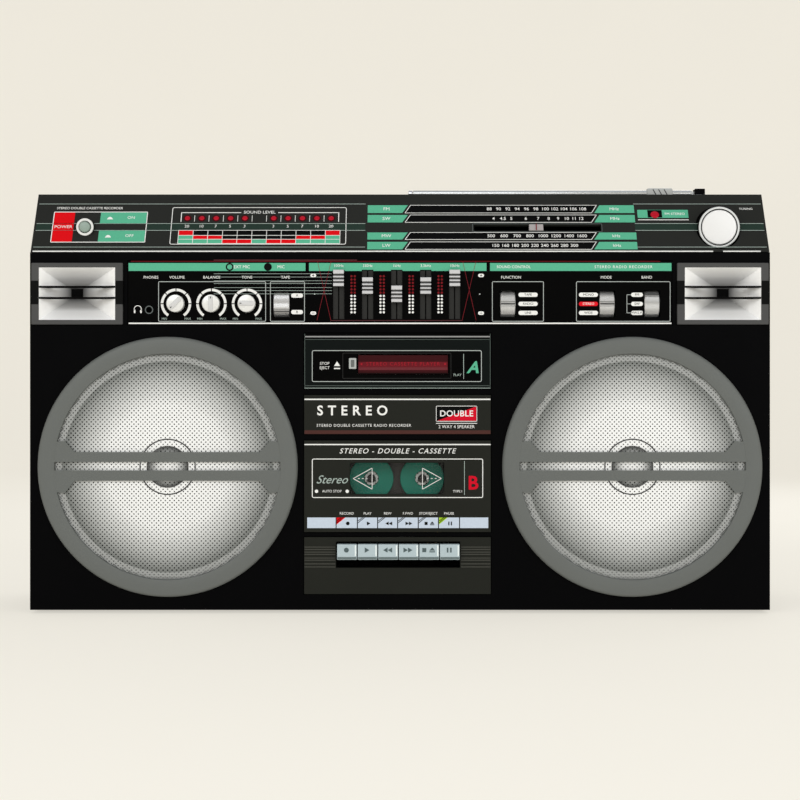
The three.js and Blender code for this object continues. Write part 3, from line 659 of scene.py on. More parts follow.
# node, body, slot, material, width of the rounding, shortest edge that gets it, steps of the rounding
SKINS = (
    ("front_cabinet", FIXED, CASE, case_black, 1.2, 12, 2),
    ("rear_cabinet", FIXED, CASE, rear_black, 1.6, 12, 2),
    ("dial_panel", FIXED, DIAL, dial_grey, 0.5, 12, 2),
    ("control_panel", FIXED, FASCIA, fascia_black, 0.25, 9, 2),
    ("deck_a_fascia", FIXED, FASCIA, fascia_black, 0.35, 3, 2),
    ("badge_plate", FIXED, FASCIA, fascia_grey, 0.35, 3, 2),
    ("key_panel", FIXED, FASCIA, fascia_grey, 0.35, 3, 2),
    ("deck_b_door", "deck_b_door", FASCIA, fascia_grey, 0.4, 3, 2),
    ("battery_door", "battery_door", CASE, rear_black, 0.6, 3, 2),
    ("mains_inlet", FIXED, CASE, well_black, 0.4, 3, 2),
    ("carrying_handle", "carrying_handle", CASE, rear_black, 2.4, 6, 4),
    ("deck_a_eject_button", "deck_a_eject_button", "grey_plastic", eject_pale, 0.6, 3, 3),
    ("foot_left", FIXED, "rubber", rubber_black, 0.5, 3, 2),
    ("foot_right", FIXED, "rubber", rubber_black, 0.5, 3, 2),
)
for skin in SKINS:
    soften(*skin)

HIDDEN = {
    steel: ("tape_chassis_a", "deck_motor", "head_bridge", "woofer_frame_left", "woofer_frame_right"),
    chassis_brown: ("tape_chassis_b",),
    brass: ("flywheel", "motor_pulley"),
    varnish: ("power_transformer",),
    rubber_black: ("drive_belt",),
    button_grey: ("dial_drum",),
    smoked_window: ("deck_b_window",),
    board_and_parts: ("main_board",),
}
for material, nodes in HIDDEN.items():
    for node in nodes:
        coat(node, material)

# --- floor, backdrop and light

CREAM = srgb(240, 236, 226)
FLOOR_R, BOWL_R, BOWL_BEND, BOWL_HEIGHT, BOWL_GLOW = 1200.0, 3800.0, 900.0, 3400.0, 0.68
BOWL_SHADE = 0.42  # the paper is darkened, since it also glows
BOWL_SIDES, BEND_STEPS = 96, 12
COOL_WHITE = (0.9, 0.94, 1.0)
SKY_STRENGTH = 0.2


def studio():
    """A round seamless pale stage: a floor that curves up into a wall on every side."""
    floor = -BASE_Z / MM
    profile = [(FLOOR_R, 0.0)]
    for k in range(BEND_STEPS + 1):
        a = math.radians(90 * k / BEND_STEPS)
        profile.append((BOWL_R - BOWL_BEND + BOWL_BEND * math.sin(a), BOWL_BEND * (1 - math.cos(a))))
    profile.append((BOWL_R, BOWL_HEIGHT))
    rings = [[(x, y, z + floor) for x, y in circle(0, 0, r, BOWL_SIDES)] for r, z in profile]
    backdrop = Shape().loft(rings, caps=1)
    m = Nodes("backdrop")
    paper = mottled(m, m.noise(3, 2), CREAM, 0.985, 1.0)
    shaded = m.mix(1.0, paper, (BOWL_SHADE, BOWL_SHADE, BOWL_SHADE, 1), "MULTIPLY")
    m.put(Base_Color=shaded, Emission_Color=paper, Emission_Strength=BOWL_GLOW, Roughness=0.95,
          Specular_IOR_Level=0.0)
    backdrop.piece("backdrop", None, None, m.material)


def softbox(name, where, aim, size, power):
    data = bpy.data.lights.new(name, "AREA")
    data.shape = "RECTANGLE"
    data.size, data.size_y = size
    data.energy = power
    data.color = COOL_WHITE
    lamp = bpy.data.objects.new(name, data)
    lamp.location = world(*where)
    lamp.rotation_euler = (world(*aim) - lamp.location).to_track_quat("-Z", "Y").to_euler()
    bpy.context.scene.collection.objects.link(lamp)


# name, place, aim, size in metres, power
LIGHTS = (
    ("key", (-700, -1700, 1100), (0, 0, 150), (1.3, 1.1), 11),
    ("fill", (1100, -1600, 700), (0, 0, 150), (1.3, 1.1), 7.5),
    ("top", (0, 200, 2600), (0, 200, 0), (3.0, 3.0), 14),
    ("behind", (700, 1500, 1200), (0, 150, 150), (1.6, 1.2), 9),
)
studio()
for light in LIGHTS:
    softbox(*light)

bpy.context.scene.world = bpy.data.worlds.new("studio")
bpy.context.scene.world.use_nodes = True
sky = bpy.context.scene.world.node_tree.nodes["Background"]
sky.inputs["Color"].default_value = srgb(250, 250, 250)
sky.inputs["Strength"].default_value = SKY_STRENGTH

# --- slanted dial panel print

LEFT, RIGHT = -278.0, 278.0
TINT_V = (20.9, 26.7)
STEREO_TAB = (182.3, 221.2)
POWER_U, POWER_V = (-229.6, -194.3), ((27.1, 37.9, 32.7, "ON"), (9.6, 20.5, 15.2, "OFF"))
LED_COUNT, LED_GAP = 11, 5  # the middle place has no lamp
LED_RINGS = (2.0, 3.1)
GAP_LEFT, GAP_RIGHT = -26.5, 179.6  # the dial window stands between these
PIN_LINES = (46.2, 27.1, 20.5, 4.5)


def dial_print():
    p = Print("dial", slanted, FIXED, DIAL)
    for v in PIN_LINES:
        for u0, u1 in ((LEFT, GAP_LEFT), (GAP_RIGHT, RIGHT)):
            p.rule(pale_ink, u0, u1, v, 0.4)
    for u0, u1 in ((LEFT, -265.5), (-193.8, GAP_LEFT), (GAP_RIGHT, RIGHT)):
        p.bar(tint_ink, u0, u1, *TINT_V, lift=-0.03)
    for u0, u1 in ((LEFT, 237), (244.5, 273)):
        p.bar(white_ink, u0, u1, 0.05, 1.0)
    p.text(white_ink, "STEREO DOUBLE CASSETTE RECORDER", -264, 42.0, 2.15, align="LEFT", spacing=0.93)
    power_block(p)
    level_meter(p)
    dial_scale(p)
    p.text(white_ink, "TUNING", 266, 41.3, 1.9)
    p.bar(green_ink, *STEREO_TAB, 32.6, 40.4)
    p.bar(black_ink, 190, 201.1, 32.9, 40.1, FIRM)
    p.text(white_ink, "FM STEREO", 210.9, 36.4, 2.2, FIRM)
    p.bar(white_ink, *STEREO_TAB, 30.4, 31.0)
    p.done()


def power_block(p):
    p.bar(red_ink, -265, -249.4, 9.6, 37.9)
    p.frame(white_ink, -265.7, -193.6, 8.9, 38.6, width=0.6, radius=0.8)
    p.text(white_ink, "POWER", -257.2, 23.8, 2.8, FIRM)
    for v0, v1, v, word in POWER_V:
        p.bar(green_ink, *POWER_U, v0, v1)
        p.text(white_ink, word, -206, v, 2.6, FIRM)
        p.bar(white_ink, -224.4, -220.0, v - 1.6, v - 0.8, FIRM)
        p.fill(white_ink, sector(-222.2, v - 1.0, 0.01, 1.8, -90, 90), HIGH)


LED_FIRST, LED_PITCH, LED_V = -162.9, 11.02, 32.2
GRID_LEFT, GRID_RIGHT = -168.8, -45.7
GRID_STEP = (GRID_RIGHT - GRID_LEFT) / LED_COUNT
METER_ROWS = (20.5, 15.6, 11.9, 7.8)
METER_COLUMNS = (
    (red_ink, ((0, 10), (1, 2, 8, 9), (3, 4, 6, 7))),
    (green_ink, ((), (0, 10), (0, 1, 2, 5, 8, 9, 10))),
)


def level_meter(p):
    p.frame(white_ink, -175, -41, 7.0, 42.9, width=0.5, radius=1.6)
    for u0, v0, u1, v1 in ((-167.7, 37.7, -122, 37.7), (-93.6, 37.7, -47, 37.7),
                           (-167.7, 38.0, -167.7, 28.8), (-47, 38.0, -47, 28.8)):
        p.line(white_ink, u0, v0, u1, v1, 0.6)
    p.text(white_ink, "SOUND LEVEL", -107.8, 38.0, 2.7)
    for k, mark in enumerate(("20", "10", "7", "5", "3", "", "3", "5", "7", "10", "20")):
        u = LED_FIRST + k * LED_PITCH
        if k:
            p.line(white_ink, u - LED_PITCH / 2, 29.0, u - LED_PITCH / 2, 35.0, 0.35)
        if mark:
            p.text(white_ink, mark, u, 24.4, 2.6)
            p.ring(lamp_rim, u, LED_V, *LED_RINGS)
    p.bar(black_ink, GRID_LEFT, GRID_RIGHT, METER_ROWS[-1], METER_ROWS[0])
    for ink, rows in METER_COLUMNS:
        for top, low, columns in zip(METER_ROWS, METER_ROWS[1:], rows):
            for column in columns:
                u = GRID_LEFT + column * GRID_STEP
                p.bar(ink, u, u + GRID_STEP, low, top, lift=LOW)
    for v in METER_ROWS:
        p.rule(white_ink, GRID_LEFT, GRID_RIGHT, v, 0.4, HIGH)
    for k in range(LED_COUNT + 1):
        u = GRID_LEFT + k * GRID_STEP
        p.bar(white_ink, u - 0.2, u + 0.2, METER_ROWS[-1], METER_ROWS[0], HIGH)


def spread(values, first, last, logarithmic):
    """Places of the printed figures: evenly spaced, or by their logarithms."""
    steps = [math.log(v) for v in values] if logarithmic else range(len(values))
    return [(value, first + (last - first) * (step - steps[0]) / (steps[-1] - steps[0]))
            for value, step in zip(values, steps)]


# name, unit, lower and upper edge, marks, first and last place, logarithmic
WAVEBANDS = (
    ("FM", "MHz", 37.4, 44.9, range(88, 110, 2), 68.6, 140.3, False),
    ("SW", "MHz", 28.2, 35.4, (4, 4.5, 5, 6, 7, 8, 9, 10, 11, 12), 71.7, 138.7, True),
    ("MW", "kHz", 11.7, 18.4, (500, 600, 700, 800, 1000, 1200, 1400, 1600), 69.4, 138.4, False),
    ("LW", "kHz", 2.3, 9.4, (150, 160, 180, 200, 220, 240, 260, 280, 300), 72.4, 132.2, False),
)
BAND_LEAN = 4.2  # the ends of every row lean this far to the right
TAB_END, FIELD_START, FIELD_END, UNIT_START = 1.7, 3.8, 144.6, 146.8


def dial_scale(p):
    for name, unit, v0, v1, marks, first, last, logarithmic in WAVEBANDS:
        middle_v = (v0 + v1) / 2
        widen = 1 + middle_v * SIN / VIEW_DISTANCE

        def slab(ink, left, right):
            p.fill(ink, [(left[0], v0), (right[0], v0), (right[1], v1), (left[1], v1)])

        def ends(u):
            return u * widen, (u + BAND_LEAN) * widen

        slab(green_ink, (-24.8, -24.8), ends(TAB_END))
        slab(green_ink, ends(UNIT_START), (180, 180))
        start, end = ends(FIELD_START), ends(FIELD_END)
        slab(black_ink, start, end)
        for low, high in (start, end):
            p.line(white_ink, low, v0 - 0.1, high, v1 + 0.1, 0.45, lift=LOW)
        for side, v in enumerate((v0, v1)):
            p.line(white_ink, start[side], v, end[side], v, 0.4, lift=LOW)
        p.text(white_ink, name, -10.4, middle_v, 2.9, FIRM)
        p.text(white_ink, unit, 164.6, middle_v, 2.7, FIRM)
        for value, u in spread(marks, first, last, logarithmic):
            p.text(white_ink, f"{value:g}", u, middle_v, 2.8, FIRM, bold=0.03)
    p.frame(grey_ink, 55.2, 154.4, 19.2, 27.0, width=0.35, radius=0.5)


DOME_STEPS, DOME_SIDES = 5, 24


def studs(name, places, radius, height):
    """Small domed lights set into the slanted face."""
    dome = [(radius, 0.25)]
    for k in range(DOME_STEPS):
        a = math.radians(90 * k / DOME_STEPS)
        dome.append((radius * math.cos(a), -height * math.sin(a)))
    shape = Shape()
    for u, v in places:
        shape.loft([[slanted(x, y, d) for x, y in circle(u, v, r, DOME_SIDES)] for r, d in dome])
    shape.piece(name, FIXED, DIAL, lamp_red, smooth=40)


LAMPS = [(LED_FIRST + k * LED_PITCH, LED_V) for k in range(LED_COUNT) if k != LED_GAP]
dial_print()
studs("level_lights", LAMPS, 2.1, 0.8)
studs("stereo_lamp", [(195.5, 35.7)], 3.4, 1.0)

# --- control panel print

CONTROL_Y = span("control_panel")[2]
BAND_LOW, BAND_HIGH = 256.5, 262.5
BAND_V = (BAND_LOW + BAND_HIGH) / 2
SLIDERS = [middle(f"eq_slider_{k}")[0] for k in range(1, 6)]
KNOBS = ("volume_knob", "balance_knob", "tone_knob")
ROTARIES = [middle(name)[0] for name in KNOBS]
ROTARY_Z = middle("volume_knob")[2]
ROTARY_R = (span("volume_knob")[1] - span("volume_knob")[0]) / 2
TRACK_HALF = 4.3
TRACK_LOW, TRACK_HIGH = 219.7, 257.3
SELECT_ROWS = (238.5, 231.6, 224.8)
STRIP_ENDS = (-205.3, 205.3)
EQ_ENDS = (-68.8, 65.4)
BOX_V = (218.2, 248.6)
PLUS_V, MINUS_V = 253.1, 224.6
DOT_ROWS, DOT_PITCH, DOT_TOP, DOT_SIDE = 12, 2.48, 252.5, 1.25
# angles of the scale's pieces about each rotary knob
ARCS = ((-146, -92), (-88, -47), (-43, -2), (2, 43), (47, 88), (92, 146))
# ends of each group of pills, their rows, words and size of word
PILLS = (
    ((-82.3, -73.4), (237.9, 225.4), ("A", "B"), 1.9),
    ((89.6, 104.1), SELECT_ROWS, ("TAPE", "RADIO", "LINE"), 1.8),
    ((135.3, 149.7), SELECT_ROWS, ("MONO", "STEREO", "WIDE"), 1.8),
    ((174.8, 183.7), SELECT_ROWS, ("FM", "SW", "MW/LW"), 1.9),
)


def control_print():
    p = Print("controls", front(CONTROL_Y), FIXED, FASCIA)
    for u0, u1 in ((STRIP_ENDS[0], -71.5), (68.1, STRIP_ENDS[1])):
        p.bar(green_ink, u0, u1, BAND_LOW, BAND_HIGH)
    p.bar(green_ink, *EQ_ENDS, TRACK_HIGH + 0.1, BAND_HIGH)
    gaps = sorted([*EQ_ENDS] + [u + side * (TRACK_HALF + 0.1) for u in SLIDERS for side in (-1, 1)])
    for u0, u1 in zip(gaps[::2], gaps[1::2]):
        p.bar(green_ink, u0, u1, BAND_LOW, TRACK_HIGH + 0.1)
    p.bar(white_ink, *STRIP_ENDS, 216.4, 217.4)
    p.bar(deep_red_ink, -203.6, 196.8, 263.6, 264.0)
    for u0, u1 in ((-62.4, -52.3), (-52.1, -62.8), (47.4, 57.6), (57.4, 47.0)):
        p.line(cross_red, u0, 263.8, u1, 219.2, 0.3, FIRM)
    p.bar(dull_red, -52.3, 47.0, 218.8, 219.2)
    p.bar(dull_red, -141, -32.5, 264.4, 265.0)
    for v in (254.4, 251.9, 249.1, 247.0, 243.9, 241.6, 239.2):
        p.rule(pale_ink, -140.8, -51.5, v, 0.26, lift=SUNK)
    labels(p)
    selector_boxes(p)
    equaliser(p)
    p.done()


def labels(p):
    for word, u in (("PHONES", -188.4), ("VOLUME", -168.6), ("BALANCE", -142.4), ("TONE", -115.7),
                    ("TAPE", -86.6), ("FUNCTION", 84), ("MODE", 155.9), ("BAND", 186.6)):
        p.text(white_ink, word, u, 251.6, 2.1)
    for word, u, size, spacing in (("EXT MIC", -119.6, 2.3, 1), ("MIC", -90.0, 2.3, 1),
                                   ("SOUND CONTROL", 86, 2.1, 1), ("STEREO RADIO RECORDER", 169, 2.1, 1.25)):
        p.text(white_ink, word, u, BAND_V, size, FIRM, spacing=spacing)
    p.dot(black_ink, -99.9, 259.5, 3.0, lift=LOW)
    p.ring(black_ink, -128.8, 259.5, 1.9, 3.0, lift=LOW)
    p.ring(grey_ink, -189.8, 227.1, 2.4, 3.1)
    p.fill(white_ink, sector(-198.3, 227.5, 2.5, 3.0, -110, 110, 14))
    for u in (-200.7, -195.9):
        p.fill(white_ink, rounded(u - 0.6, u + 0.6, 224.6, 227.2, 0.5))


def selector_boxes(p):
    for u0, u1 in ((-182.8, -101.4), (-98.2, -72), (69.6, 108.7), (133.2, 204.5)):
        p.frame(soft_ink, u0, u1, *BOX_V, width=0.45, radius=1)
    for u in ROTARIES:
        for a0, a1 in ARCS:
            p.fill(white_ink, sector(u, ROTARY_Z, 9.55, 11.5, a0, a1))
        for side, word in ((-1, "MIN"), (1, "MAX")):
            p.text(pale_ink, word, u + side * 8.8, 220.3, 1.6)
    for (u0, u1), rows, words, size in PILLS:
        for v, word in zip(rows, words):
            # the chosen pill gets red ink with painted glow
            painted_glow = word == "STEREO"
            p.fill(painted_glow_red if painted_glow else white_ink, rounded(u0, u1, v - 1.6, v + 1.6, 1.5))
            p.text(white_ink if painted_glow else black_ink, word, (u0 + u1) / 2, v, size, FIRM)
    p.line(soft_ink, 171.6, SELECT_ROWS[-1], 171.6, SELECT_ROWS[0], 0.4)
    for v in SELECT_ROWS:
        p.line(soft_ink, 171.4, v, 174.8, v, 0.4)


def equaliser(p):
    for u, word in zip(SLIDERS, ("100Hz", "330Hz", "1kHz", "3.3kHz", "10kHz")):
        p.text(white_ink, word, u, 260.4, 2.0, FIRM)
    for sign, u in ((1, -65.6), (-1, 61.3)):
        for v in (PLUS_V, MINUS_V):
            p.fill(white_ink, rounded(u - 2.2, u + 2.2, v - 1.3, v + 1.3, 1.25))
            p.rule(black_ink, u - 0.9, u + 0.9, v, 0.44, FIRM)
        p.bar(black_ink, u - 0.22, u + 0.22, PLUS_V - 0.9, PLUS_V + 0.9, lift=0.06)
        p.dot(soft_ink, u + sign, 239, 0.5)
    for a, b in zip(SLIDERS, SLIDERS[1:]):
        for row in range(DOT_ROWS):
            ink = deep_red_ink if row < DOT_ROWS / 2 else white_ink
            for du in (-DOT_SIDE, DOT_SIDE):
                p.dot(ink, (a + b) / 2 + du, DOT_TOP - DOT_PITCH * row, 0.85, sides=12)


control_print()

strips = Shape()
for u in SLIDERS:
    for side in (-1, 1):
        near, far = sorted((u + side * 0.5, u + side * 4.25))
        strips.prism(front(0.52), rect(near, far, TRACK_LOW + 0.4, TRACK_HIGH - 0.4), -0.25, 0.25)
strips.piece("slider_track_strips", FIXED, FASCIA, track_ink)

# --- deck column print

COLUMN = (-72.2, 68.4)
TINT = (-72.0, 68.2)
BADGE = (27.6, 57.9, 143, 154.1)
BADGE_FRAME = (27.2, 58.3)
STRIP_EDGES = (-70.1, -48.3, -32.2, -16.9, -1.8, 13.8, 29.1, 45.0, 66.7)
STRIP = (62.1, 70.1)


def triangle(u, v, width, half):
    return [(u, v - half), (u + width, v), (u, v + half)]


# the keys from left to right: printed word, and the outlines of the symbol about its middle
KEYS = {
    "record": ("RECORD", [circle(0, 0, 1.2, 20)]),
    "play": ("PLAY", [triangle(-1.1, 0, 2.3, 1.3)]),
    "rewind": ("REW", [triangle(2.3, 0, -2.2, 1.2), triangle(0, 0, -2.2, 1.2)]),
    "fast_forward": ("F.FWD", [triangle(-2.3, 0, 2.2, 1.2), triangle(0, 0, 2.2, 1.2)]),
    "stop_eject": ("STOP/EJECT", [rect(-3.2, -1.2, -1.0, 1.0), [(0.4, -0.2), (3.2, -0.2), (1.8, 1.3)],
                                  rect(0.4, 3.2, -1.1, -0.6)]),
    "pause": ("PAUSE", [rect(-1.2, -0.45, -1.2, 1.2), rect(0.45, 1.2, -1.2, 1.2)]),
}


def key_symbol(p, ink, outlines, u, v, lift, size):
    for outline in outlines:
        p.fill(ink, [(u + a * size, v + b * size) for a, b in outline], lift)


def deck_a_print():
    p = Print("deck_a", front(span("deck_a_fascia")[2]), FIXED, FASCIA)
    for v, ink, width in ((206.8, ring_line, 1.0), (204.7, dim_ink, 0.4), (169.7, dim_ink, 0.4),
                          (167.9, pale_ink, 0.4)):
        p.rule(ink, *COLUMN, v, width)
    for u0, u1, v0, v1 in ((*TINT, 196.7, 204.3), (*TINT, 168.3, 172.4),
                           (TINT[0], -66.8, 172.4, 196.7), (62.0, TINT[1], 172.4, 196.7)):
        p.bar(deck_tint, u0, u1, v0, v1, lift=-0.05)
    for u in TINT:
        p.bar(dim_ink, u - 0.2, u + 0.2, 168, 209)
    p.frame(soft_ink, -66.6, 61.8, 172.6, 196.5, width=0.5, radius=1.4)
    p.frame(track_ink, -43.4, 38.7, 175.1, 194.5, width=0.35, radius=0.8)
    p.text(white_ink, "STOP", -57, 186.4, 2.1)
    p.text(white_ink, "EJECT", -57, 183.2, 2.1)
    p.fill(white_ink, [(-49.9, 184.6), (-45.3, 184.6), (-47.6, 188.1)])
    p.bar(white_ink, -49.9, -45.3, 182.3, 183.2)
    p.text(pale_ink, "PLAY", 43.4, 177.8, 1.9)
    p.line(pale_ink, 48.1, 174.8, 48.1, 193.8, 0.4)
    p.text(green_ink, "A", 55, 183.2, 8.6, shear=0.3, bold=0.35)
    p.done()


def badge_print():
    p = Print("badge", front(span("badge_plate")[2]), FIXED, FASCIA)
    p.bar(white_ink, *COLUMN, 158.9, 159.9)
    p.bar(strip_brown, *COLUMN, 133.2, 136.0)
    p.text(white_ink, "STEREO", -36.0, 150.6, 7.2, bold=0.22, spacing=1.7)
    p.text(white_ink, "STEREO DOUBLE CASSETTE RADIO RECORDER", -63.1, 139.6, 2.1, align="LEFT", spacing=1.16)
    lower_left, lower_right, upper_right, upper_left = rect(*BADGE)
    p.fill(black_ink, [lower_left, upper_right, upper_left])
    p.fill(crimson_ink, [lower_left, lower_right, upper_right])
    p.frame(white_ink, *BADGE_FRAME, 142.6, 154.5, width=0.6, radius=0.8)
    p.text(white_ink, "DOUBLE", 42.7, 148.5, 4.5, FIRM, bold=0.1, spacing=1.06)
    p.bar(white_ink, *BADGE_FRAME, 141.0, 141.5)
    p.text(white_ink, "2 WAY 4 SPEAKER", 42.7, 138.6, 2.4)
    p.done()


def deck_b_print():
    p = Print("deck_b", front(span("deck_b_door")[2]), "deck_b_door", FASCIA)
    p.bar(white_ink, *COLUMN, 124.8, 125.7)
    p.text(white_ink, "STEREO - DOUBLE - CASSETTE", -2.1, 120.2, 3.9, shear=0.3, bold=0.02, spacing=1.18)
    p.frame(white_ink, -66.6, 62.8, 84.9, 114.6, width=0.6, radius=1.4)
    p.text(pale_ink, "Stereo", -51.8, 98.5, 6.2, shear=0.45)
    p.text(white_ink, "AUTO STOP", -51.5, 89.9, 1.9)
    for u in (-63.1, -39.9):
        p.dot(white_ink, u, 89.9, 1.3)
    p.text(white_ink, "TYPE I", 43.5, 89.8, 1.8)
    p.line(pale_ink, 48.7, 87.1, 48.7, 112.8, 0.4)
    p.text(crimson_ink, "B", 55.2, 95.8, 10.0, bold=0.35)
    key_labels(p)
    p.done()


def key_labels(p):
    """The paper strip under deck B, with a word and a symbol for each key."""
    p.bar(label_paper, STRIP_EDGES[0], STRIP_EDGES[-1], *STRIP)
    for u in STRIP_EDGES[1:-1]:
        p.bar(black_ink, u - 0.35, u + 0.35, *STRIP, lift=LOW)
    for a, b, (kind, (word, outlines)) in zip(STRIP_EDGES[1:], STRIP_EDGES[2:], KEYS.items()):
        u = a + 0.4
        if kind in ("record", "pause"):
            p.fill(red_ink if kind == "record" else lime_ink, [(u, 64.8), (u + 6.6, 70.1), (u, 70.1)], 0.03)
        for step in (1.4, 2.8):
            p.line(black_ink, u, 64.6 + step, u + 6.4 - step, 70.1, 0.5, FIRM)
        p.text(white_ink, word, (a + b) / 2, 73.1, 1.9)
        key_symbol(p, black_ink, outlines, (a + b) / 2 + 0.8, 65.6, HIGH, 1.15)


def key_panel_print():
    p = Print("key_panel", front(span("key_panel")[2]), FIXED, FASCIA)
    for v in (47.7, 45.9, 43.9, 42.2, 39.4, 37.8, 35.0, 32.7):
        for u0, u1 in ((COLUMN[0], -48.9), (46.1, COLUMN[1])):
            p.rule(groove_brown, u0, u1, v, 0.6)
    p.done()


deck_a_print()
badge_print()
deck_b_print()
key_panel_print()

# --- knobs, sliders and selectors

SILVER = "silver_plastic"


def round_part(name):
    """x, z and radius of a round node on the front, and its depths."""
    x0, x1, y0, y1, z0, z1 = span(name)
    return (x0 + x1) / 2, (z0 + z1) / 2, (x1 - x0) / 2, y0, y1


def small_knob(name, x, setting):
    """A silver knob with a fluted rim, a raised grip bar and a dark index mark, on a shaft."""
    z, radius, y_face = ROTARY_Z, ROTARY_R, span(name)[2] + 0.8
    y_back = CONTROL_Y - 0.3
    profile = ((0.4, y_face), (radius - 1.0, y_face), (radius - 0.5, y_face + 0.15),
               (radius - 0.1, y_face + 0.7), (radius, y_face + 1.3), (radius, y_back), (0.4, y_back))
    rim = Shape().fluted(profile, lambda r, y, c, s: (x + r * s, y, z + r * c), 72,
                         lambda k, r: 0.14 if (k // 2) % 2 and r == radius else 0)
    rim.piece(f"{name}_cap", name, SILVER, silver_knob, replaces=[name], smooth=30)
    c, s = turn(setting / 360)
    reach = radius - 1.0
    grip = [[front(y_face)(x + u * c + v * s, z - u * s + v * c, d) for u, v in
             rounded(-half, half, -length, length, 0.9, 4)]
            for d, half, length in ((0.3, 1.9, reach), (-0.35, 1.8, reach - 0.1), (-0.75, 1.35, reach - 0.6))]
    Shape().loft(grip).piece(f"{name}_grip", name, SILVER, grip_grey)
    mark = stroke(x + 3.6 * s, z + 3.6 * c, x + (reach - 0.7) * s, z + (reach - 0.7) * c, 0.6)
    Shape().prism(front(y_face), mark, -0.9, -0.5).piece(f"{name}_pointer", name, SILVER, groove_dark)
    lathe(f"{name}_shaft", name, SILVER, steel, rod(2.9, CONTROL_Y - 0.4, 18, 0.01), (x, 0, z), 24)


for name, x, setting in zip(KNOBS, ROTARIES, (-135, 0, -90)):
    small_knob(name, x, setting)

CAP_STEPS = (3.1, 1.5, 1.3, 1.5, 1.3, 1.3, 2.4)  # heights from the top: ridge, groove, ridge and so on


def slider_cap(name, u):
    """A grooved silver cap: light ridges with dark grooves between them."""
    x0, x1, _, _, z0, z1 = span(name)
    top, centre = z1 - 0.05, (z0 + z1) / 2
    body = Shape().prism(front(0), rounded(x0 + 0.2, x1 - 0.2, z0 + 0.1, top, 0.5), -3.9, 0.15)
    body.prism(front(0), rect(u - 0.4, u + 0.4, centre - 3, centre + 3), 0.1, 9)
    body.piece(f"{name}_body", name, SILVER, groove_dark)
    ridges = Shape()
    v = top
    for i, step in enumerate(CAP_STEPS):
        if i % 2 == 0:
            d = 0.35 * abs(i - 3) / 3 - 5.1
            outline = [(v, -3.7), (v, d + 0.35), (v - 0.35, d), (v - step + 0.35, d), (v - step, d + 0.35),
                       (v - step, -3.7)]
            ridges.loft([[(x, y, z) for z, y in outline] for x in (x0, x1)])
        v -= step
    ridges.piece(f"{name}_ridges", name, SILVER, cap_silver, replaces=[name])


for k, u in enumerate(SLIDERS, 1):
    slider_cap(f"eq_slider_{k}", u)

DRUM_R, DRUM_Y, DRUM_Z = 11.0, 9.2, 231.6
AXLE_END = 3  # the axle stands this far out of its wheel


def selector_drum(name, index):
    """A knurled metal thumbwheel on an axle across the panel, with dark index lines."""
    end0, end1 = span(name)[:2]
    x0, x1, r = end0 + AXLE_END, end1 - AXLE_END, DRUM_R
    profile = [(0.05, x0), (r - 0.5, x0), (r, x0 + 0.5), (r, x1 - 0.5), (r - 0.5, x1), (0.05, x1)]
    wheel = Shape().fluted(profile, lambda r, x, c, s: (x, DRUM_Y - r * c, DRUM_Z + r * s), 180,
                           lambda k, r: 0.12 if k % 2 and r > 5 else 0, caps=0)
    wheel.piece(f"{name}_wheel", name, SILVER, drum_silver, replaces=[name], smooth=25)
    lathe(f"{name}_axle", name, SILVER, steel, rod(1.5, end0, end1), (0, DRUM_Y, DRUM_Z), 24, "X")
    lines = Shape()
    for offset, half, depth in ((0, 0.45, 0.25), (8.5, 0.18, 0.08), (-8.5, 0.18, 0.08)):
        c, s = turn((index + offset) / 360)
        box = [(DRUM_Y - (r + d) * c + t * s, DRUM_Z + (r + d) * s + t * c)
               for t, d in rect(-half, half, -0.35, depth)]
        lines.loft([[(x, y, z) for y, z in box] for x in (x0 + 0.3, x1 - 0.3)])
    lines.piece(f"{name}_index", name, SILVER, groove_dark)


for name, index in (("tape_mode_drum", -30), ("function_drum", 0), ("stereo_drum", 0), ("band_drum", 38)):
    selector_drum(name, index)


def tuning_knob():
    name = "tuning_knob"
    x, z, r, y0, y1 = round_part(name)
    rim = Shape().fluted(((13.9, y0 + 1.6), (r - 0.5, y0 + 0.8), (r, y0 + 1.5), (r, 27.5), (0.1, 27.5)),
                         lambda r, y, c, s: (x + r * c, y, z + r * s), 144,
                         lambda k, radius: 0.22 if (k // 2) % 2 and radius == r else 0)
    rim.piece(f"{name}_rim", name, SILVER, well_black, replaces=[name], smooth=30)
    face = [(0.02, y0 + 0.1), (9, y0 + 0.12), (12.7, y0 + 0.3), (13.2, y0 + 0.8), (13.2, y0 + 4),
            (0.02, y0 + 4)]
    lathe(f"{name}_face", name, SILVER, spun_face(x, z), face, (x, 0, z), 120)
    lathe(f"{name}_shaft", name, SILVER, steel, rod(3, 27, y1), (x, 0, z), 24)
    ring = [(14.1, y0 + 0.4), (15.2, y0 + 0.4), (15.6, y0 + 0.8), (15.6, y0 + 2), (14.1, y0 + 2)]
    lathe(f"{name}_ring", name, SILVER, knob_grey, ring, (x, 0, z), 120)


def power_button():
    name = "power_button"
    x, z, r, y0, y1 = round_part(name)
    r -= 0.5
    cap = [(0.02, y0), (r - 0.8, y0 + 0.05), (r - 0.3, y0 + 0.3), (r, y0 + 0.8), (r, y1), (0.02, y1)]
    lathe(f"{name}_cap", name, "grey_plastic", button_grey, cap, (x, 0, z), 64, replaces=[name])
    collar = [(4.6, 8.2), (4.9, 7.6), (6.4, 7.6), (6.7, 8.1), (6.7, 16), (4.6, 16)]
    lathe(f"{name}_collar", FIXED, DIAL, white_collar, collar, (x, 0, z), 72)


def pointer():
    name = "tuning_pointer"
    soften(name, name, "red_plastic", pointer_grey, 0.3, least=1.5)
    x = middle(name)[0]
    line = Shape().prism(slanted, rect(x - 0.35, x + 0.35, 20.3, 25.9), -1.42, 0.5)
    line.piece("pointer_line", name, "red_plastic", cross_red)


tuning_knob()
power_button()
pointer()

# --- keys


